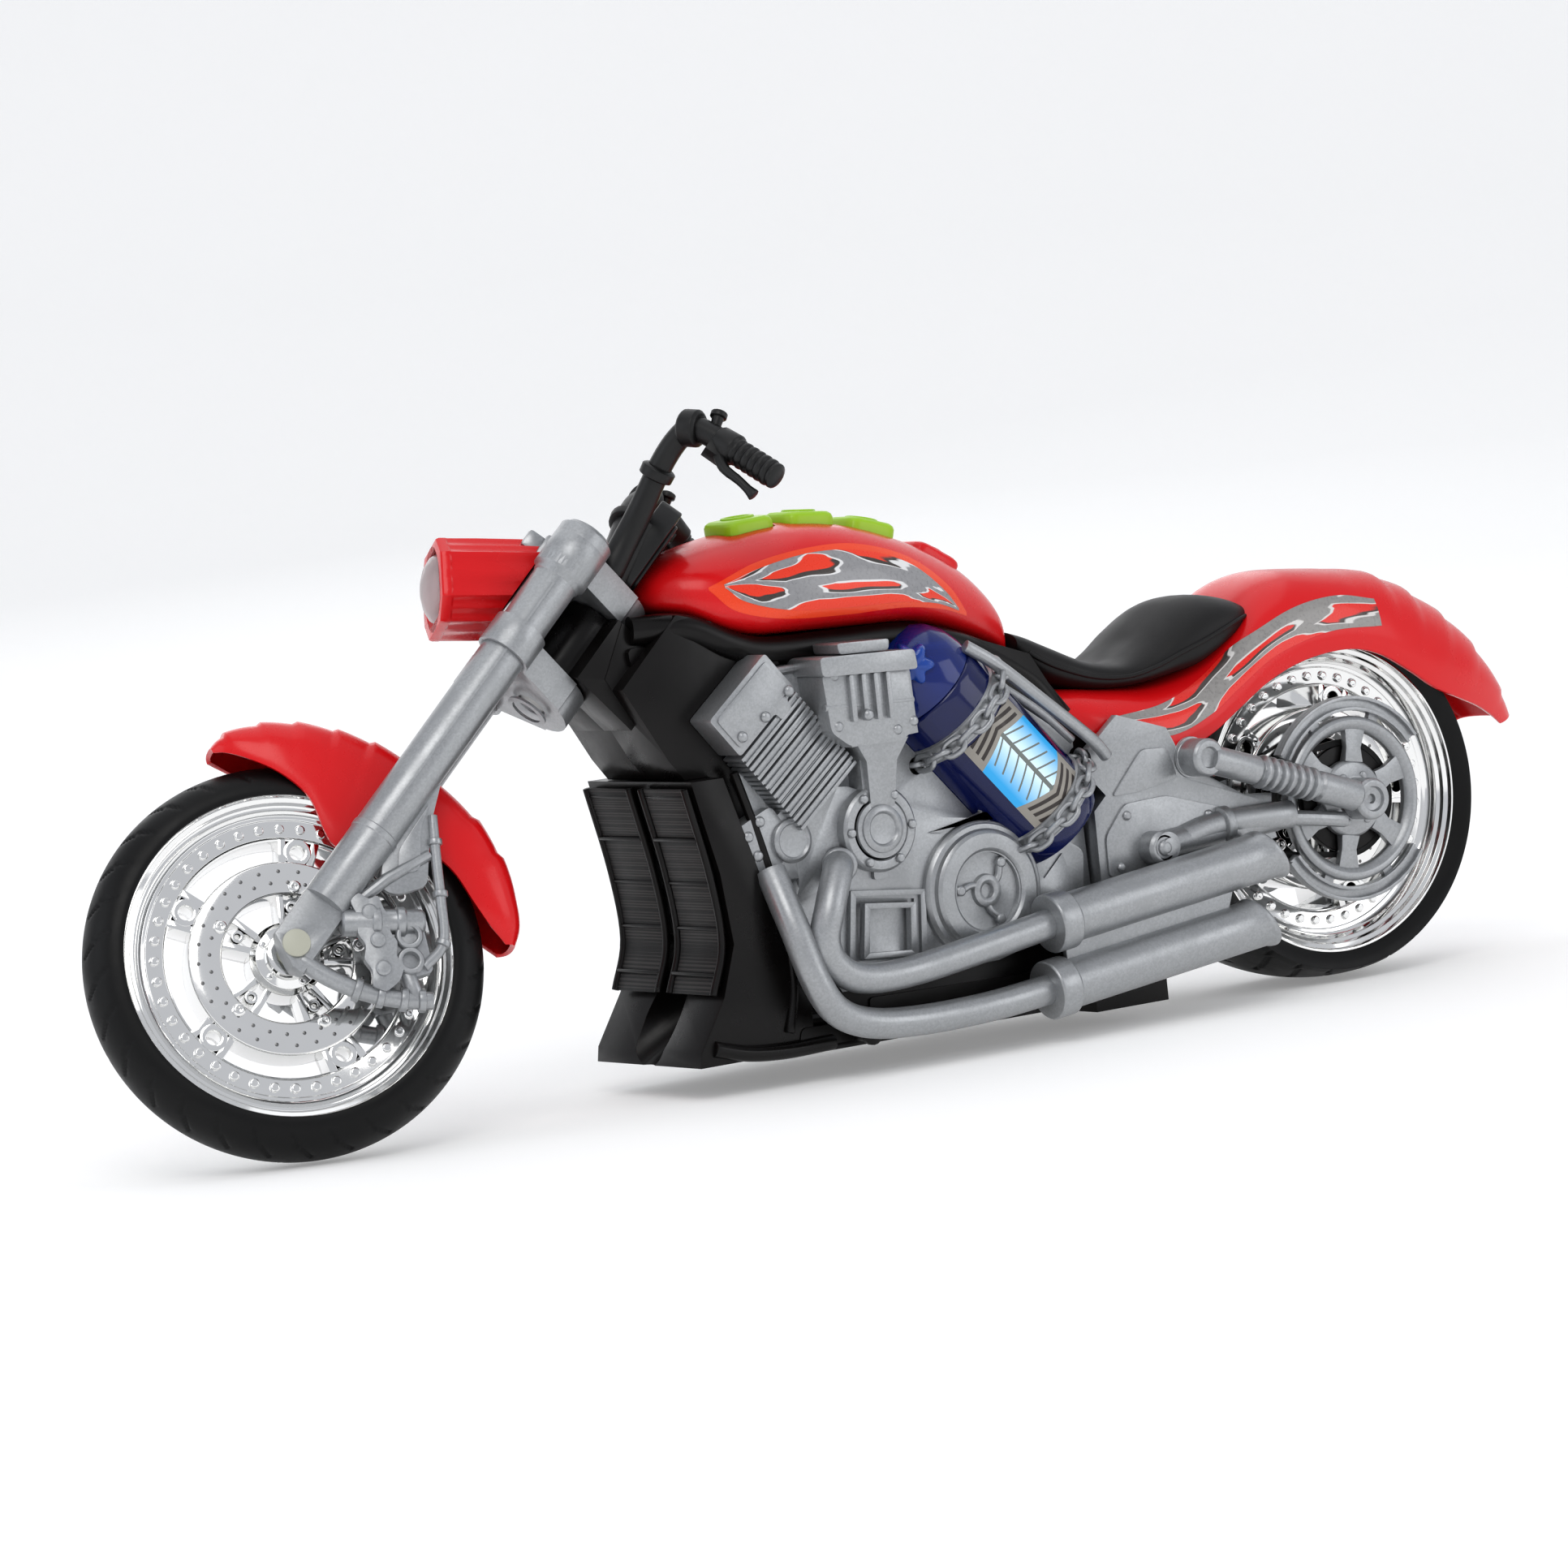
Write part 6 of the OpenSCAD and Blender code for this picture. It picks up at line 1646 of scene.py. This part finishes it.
def make_inside(op):
    for node, key, slot in (
            ("batteries", "brass", "cell_jacket"), ("battery_contacts", "steel", "steel"), ("led_board",
                    "board", "circuit_board"),
            ("switch_board", "board", "circuit_board"), ("rear_switch_board", "board", "circuit_board"),
            ("speaker", "black", "black_plastic"), ("drive_motor", "steel", "steel"), ("motor_pulley",
                    "brass", "steel"),
            ("drive_belt", "belt", "belt_rubber")):
        refined(node, FINISH[key], 0.12)


# ---------------------------------------------------------------- printed panels
def printed_patch(name, target, outline_top, outline_low, finish, lift, n=40, m=14):
    """A thin printed film on the side of a body, between a top and a bottom line in side view."""
    tree = BVHTree.FromObject(target, bpy.context.evaluated_depsgraph_get())
    top = smooth_line([(x, z, 0) for x, z in outline_top], n // (len(outline_top) - 1))
    low = smooth_line([(x, z, 0) for x, z in outline_low], n // (len(outline_low) - 1))
    count = min(len(top), len(low))
    place = FRAMES["chassis"]
    for side in (1, -1):
        verts, uvs = [], []
        for i in range(count):
            for j in range(m + 1):
                q = low[i].lerp(top[i], j / m)
                start = place @ Vector((q.x, -60 * side, q.y))
                hit, normal, _, _ = tree.ray_cast(start, Vector((0, side, 0)))
                if hit is None:
                    raise RuntimeError(f"{name} misses the body at {q.x:.1f}, {q.y:.1f}")
                verts.append(hit + normal * lift * MM)
                uvs.append((i / (count - 1), j / m))
        faces, face_uvs = [], []
        for i in range(count - 1):
            for j in range(m):
                f = [i * (m + 1) + j, (i + 1) * (m + 1) + j, (i + 1) * (m + 1) + j + 1, i * (m + 1) + j + 1]
                f = f if side == 1 else f[::-1]
                faces.append(f)
                face_uvs.append([uvs[k] for k in f])
        form = Form().add(verts, faces, uvs=face_uvs)
        hand = "left" if side == 1 else "right"
        obj = linked(f"{name}_{hand}", form.mesh(name, Matrix.Identity(4)))
        obj.data.materials.append(finish)
        film = obj.modifiers.new("Film", "SOLIDIFY")
        film.thickness, film.offset = 0.08 * MM, -1
        soften(obj, 0, smooth=60)
        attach(obj, "chassis")


def make_prints(op):
    tank = bpy.data.objects["fuel_tank_body"]
    printed_patch("tank_print_band", tank,
                  [(93.4, 98.2), (104, 101.8), (116, 103.4), (128, 103), (140, 99.2), (149.6, 92.4),
                   (154.6, 86.4)],
                  [(93.4, 97.6), (98, 93.0), (108, 90.4), (122, 89.6), (136, 89.4), (147, 87.8),
                   (154.6, 85.6)],
                  FINISH["orange"], 0.06, 42)
    printed_patch("tank_print", tank,
                  [(96.4, 98.4), (106, 101.0), (117, 102.4), (128, 101.6), (139, 98.0), (147.6, 91.8),
                   (152, 87.4)],
                  [(96.4, 97.8), (100, 94.6), (109, 92.0), (122, 91.0), (135, 90.6), (145, 89.2),
                   (152, 87.0)],
                  FINISH["tank_print"], 0.14, 42)
    fender = bpy.data.objects["rear_fender_shell"]
    printed_patch("fender_print", fender,
                  [(186, 61.4), (198, 62.6), (209, 66.4), (220, 73.0), (232, 78.0), (244, 79.4),
                   (254, 77.6)],
                  [(186, 57.0), (198, 56.2), (208, 59.2), (216, 63.8), (226, 69.2), (240, 72.4),
                   (254, 72.0)],
                  FINISH["fender_print"], 0.1, 42)


# ---------------------------------------------------------------- stage
def make_stage(op):
    scene = bpy.context.scene
    rows = []
    bend = [(1.6 + 0.9 * math.sin(a), 0.9 - 0.9 * math.cos(a)) for a in (0.3, 0.6, 0.9, 1.2, 1.5)]
    for x, z in [(-2.2, 0.0), (1.6, 0.0)] + bend + [(2.5, 3.2)]:
        rows.append([(q, x, z) for q in (-4.5, 4.5)])
    form = sheet_form(rows)
    me = form.mesh("floor", Matrix.Identity(4))
    bm = bmesh.new()
    bm.from_mesh(me)
    bmesh.ops.recalc_face_normals(bm, faces=bm.faces)
    bm.to_mesh(me)
    bm.free()
    ground = linked("floor", me)
    me.materials.append(FINISH["paper"])
    me.shade_smooth()
    ground.rotation_euler = (0, 0, -math.radians(CAMERA_TURN))
    ground.location = (0, 0, -FLOOR_DROP)
    world = bpy.data.worlds.new("Studio")
    scene.world = world
    world.use_nodes = True
    sky = world.node_tree.nodes["Background"]
    sky.inputs["Color"].default_value = (0.93, 0.95, 1.0, 1)
    sky.inputs["Strength"].default_value = op.world
    for name, place, power, size, colour in (
            ("Key", (-0.75, -0.95, 1.25), op.key, 0.9, (1, 0.98, 0.95)),
            ("Fill", (-1.3, 0.3, 0.6), op.key * 0.35, 1.0, (0.93, 0.96, 1)),
            ("Side", (0.9, -1.2, 0.5), op.key * 0.4, 0.8, (1, 1, 1)),
            ("Top", (0.1, 0.3, 1.6), op.key * 0.5, 1.4, (1, 1, 1)),
            ("Back", (0.5, 1.4, 0.8), op.key * 0.35, 1.2, (1, 1, 1))):
        lamp = bpy.data.lights.new(name, "AREA")
        lamp.energy, lamp.size, lamp.color = power, size, colour
        obj = linked(name, lamp)
        obj.location = place
        obj.rotation_euler = (Vector(LAMP_AIM) - Vector(place)).to_track_quat("-Z", "Y").to_euler()
    # Camera: low, from the front left, with a little roll
    turn, rise, roll = (math.radians(v) for v in (CAMERA_TURN, CAMERA_RISE, CAMERA_ROLL))
    aim_at = FRAMES["chassis"] @ Vector(LOOK_AT)
    back = Vector((-math.sin(turn) * math.cos(rise), -math.cos(turn) * math.cos(rise), math.sin(rise)))
    right = (-back).cross(Vector((0, 0, 1))).normalized()
    up = right.cross(-back)
    x_axis = math.cos(roll) * right - math.sin(roll) * up
    y_axis = math.sin(roll) * right + math.cos(roll) * up
    place = aim_at + back * CAMERA_DISTANCE
    camera = bpy.data.cameras.new("Camera")
    camera.lens, camera.sensor_width = op.lens, 36
    camera.clip_start, camera.clip_end = 0.05, 50
    obj = linked("Camera", camera)
    obj.matrix_world = Matrix((
        (x_axis.x, y_axis.x, back.x, place.x), (x_axis.y, y_axis.y, back.y, place.y),
        (x_axis.z, y_axis.z, back.z, place.z), (0, 0, 0, 1)))
    scene.camera = obj
    scene.view_settings.view_transform = "Standard"
    scene.view_settings.look = "Medium High Contrast"


# ---------------------------------------------------------------- add-on
class ChopperLook(bpy.types.PropertyGroup):
    """Colours of the toy's plastics."""

    red: bpy.props.FloatVectorProperty(name="Red", description="Tank, fenders, lamp and rear button",
            subtype="COLOR",
                                       default=(0.72, 0.008, 0.012), min=0, max=1)
    lime: bpy.props.FloatVectorProperty(name="Lime", description="The three front buttons", subtype="COLOR",
                                        default=(0.36, 0.62, 0.02), min=0, max=1)
    silver: bpy.props.FloatVectorProperty(name="Silver", description="Engine, fork, pipes and swingarm",
            subtype="COLOR",
                                          default=(0.4, 0.41, 0.42), min=0, max=1)
    blue: bpy.props.FloatVectorProperty(name="Blue", description="Tinted canister", subtype="COLOR",
                                        default=(0.006, 0.02, 0.2), min=0, max=1)


class CHOPPER_OT_finishes(bpy.types.Operator):
    """Make the finishes and the trees that repeat small parts"""

    bl_idname = "chopper.finishes"
    bl_label = "Finishes"

    def execute(self, context):
        TREES.update(ring=ring_tree(), row=row_tree(), chain=chain_tree())
        make_finishes(context.scene.chopper_look)
        return {"FINISHED"}


class CHOPPER_OT_front_wheel(bpy.types.Operator):
    """Plated front wheel and its tyre with cut sipes"""

    bl_idname = "chopper.front_wheel"
    bl_label = "Front Wheel"

    sipes: bpy.props.IntProperty(name="Sipes", description="Curved cuts round the tread on each side",
                                 default=30, min=12, max=60)

    def execute(self, context):
        make_front_wheel(self)
        return {"FINISHED"}


class CHOPPER_OT_rear_wheel(bpy.types.Operator):
    """Wide plated rear wheel and its tyre"""

    bl_idname = "chopper.rear_wheel"
    bl_label = "Rear Wheel"

    sipes: bpy.props.IntProperty(name="Sipes", description="Curved cuts round the tread on each side",
                                 default=28, min=12, max=60)

    def execute(self, context):
        make_rear_wheel(self)
        return {"FINISHED"}


class CHOPPER_OT_fork(bpy.types.Operator):
    """Fork legs, clamps, calipers, lamp and bars"""

    bl_idname = "chopper.fork"
    bl_label = "Fork"

    def execute(self, context):
        make_fork(self)
        make_calipers(self)
        make_headlight(self)
        make_bars(self)
        return {"FINISHED"}


class CHOPPER_OT_shells(bpy.types.Operator):
    """Tank with its buttons, seat and both fenders"""

    bl_idname = "chopper.shells"
    bl_label = "Tank, Seat and Fenders"

    rear_wall: bpy.props.FloatProperty(name="Rear wall", description="Thickness of the rear fender",
            default=1.3, min=0.6, max=2)
    front_wall: bpy.props.FloatProperty(name="Front wall", description="Thickness of the front fender",
            default=1.0, min=0.6, max=2)

    def execute(self, context):
        make_rear_fender(self)
        make_front_fender(self)
        make_tank(self)
        make_seat(self)
        return {"FINISHED"}


class CHOPPER_OT_frame(bpy.types.Operator):
    """Black frame halves, radiator scoop and battery door"""

    bl_idname = "chopper.frame"
    bl_label = "Frame"

    def execute(self, context):
        make_frame(self)
        make_inside(self)
        return {"FINISHED"}


class CHOPPER_OT_engine(bpy.types.Operator):
    """Engine sides with fins, covers and rivets"""

    bl_idname = "chopper.engine"
    bl_label = "Engine"

    fins: bpy.props.IntProperty(name="Fins", description="Cooling fins of the front cylinder", default=16,
                                min=8, max=24)

    def execute(self, context):
        make_engine(self)
        return {"FINISHED"}


class CHOPPER_OT_exhaust(bpy.types.Operator):
    """Swept headers and hollow silencers"""

    bl_idname = "chopper.exhaust"
    bl_label = "Exhaust"

    slant: bpy.props.FloatProperty(name="Slant", description="How far the mouths lean", default=0.42, min=0,
                                   max=1)

    def execute(self, context):
        make_exhaust(self)
        return {"FINISHED"}


class CHOPPER_OT_canister(bpy.types.Operator):
    """Tinted canister with its chains, rod and label"""

    bl_idname = "chopper.canister"
    bl_label = "Canister"

    links: bpy.props.IntProperty(name="Links", description="Chain links over each band", default=12, min=6,
                                 max=20)

    def execute(self, context):
        make_canister(self)
        return {"FINISHED"}


class CHOPPER_OT_rear_end(bpy.types.Operator):
    """Swingarm, shocks and axle covers"""

    bl_idname = "chopper.rear_end"
    bl_label = "Rear End"

    def execute(self, context):
        make_swingarm(self)
        make_rear_covers(self)
        return {"FINISHED"}


class CHOPPER_OT_prints(bpy.types.Operator):
    """Printed panels on the tank and the rear fender"""

    bl_idname = "chopper.prints"
    bl_label = "Prints"

    def execute(self, context):
        make_prints(self)
        return {"FINISHED"}


class CHOPPER_OT_stage(bpy.types.Operator):
    """Pale floor, soft studio lamps and the camera"""

    bl_idname = "chopper.stage"
    bl_label = "Stage"

    key: bpy.props.FloatProperty(name="Key light", description="Power of the key lamp", default=5.5, min=0,
                                 unit="POWER")
    world: bpy.props.FloatProperty(name="Sky", description="Strength of the even light", default=0.55, min=0)
    lens: bpy.props.FloatProperty(name="Lens", description="Focal length of the camera", default=161.87,
                                  min=20, unit="CAMERA")

    def execute(self, context):
        make_stage(self)
        return {"FINISHED"}


class CHOPPER_PT_panel(bpy.types.Panel):
    """All steps, in the order they run"""

    bl_label = "Toy Chopper"
    bl_idname = "CHOPPER_PT_panel"
    bl_space_type = "VIEW_3D"
    bl_region_type = "UI"
    bl_category = "Chopper"

    def draw(self, context):
        look = context.scene.chopper_look
        for key in ("red", "lime", "silver", "blue"):
            self.layout.prop(look, key)
        for step in STEPS:
            self.layout.operator(step.bl_idname)


STEPS = (
    CHOPPER_OT_finishes, CHOPPER_OT_front_wheel, CHOPPER_OT_rear_wheel, CHOPPER_OT_fork,
    CHOPPER_OT_shells, CHOPPER_OT_frame, CHOPPER_OT_engine, CHOPPER_OT_exhaust,
    CHOPPER_OT_canister, CHOPPER_OT_rear_end, CHOPPER_OT_prints, CHOPPER_OT_stage,
)
CLASSES = (ChopperLook, *STEPS, CHOPPER_PT_panel)


def register():
    for c in CLASSES:
        bpy.utils.register_class(c)
    bpy.types.Scene.chopper_look = bpy.props.PointerProperty(type=ChopperLook)


def unregister():
    del bpy.types.Scene.chopper_look
    for c in reversed(CLASSES):
        bpy.utils.unregister_class(c)


def main():
    register()
    for step in STEPS:
        getattr(bpy.ops.chopper, step.bl_idname.split(".")[1])()


if __name__ == "__main__":
    main()
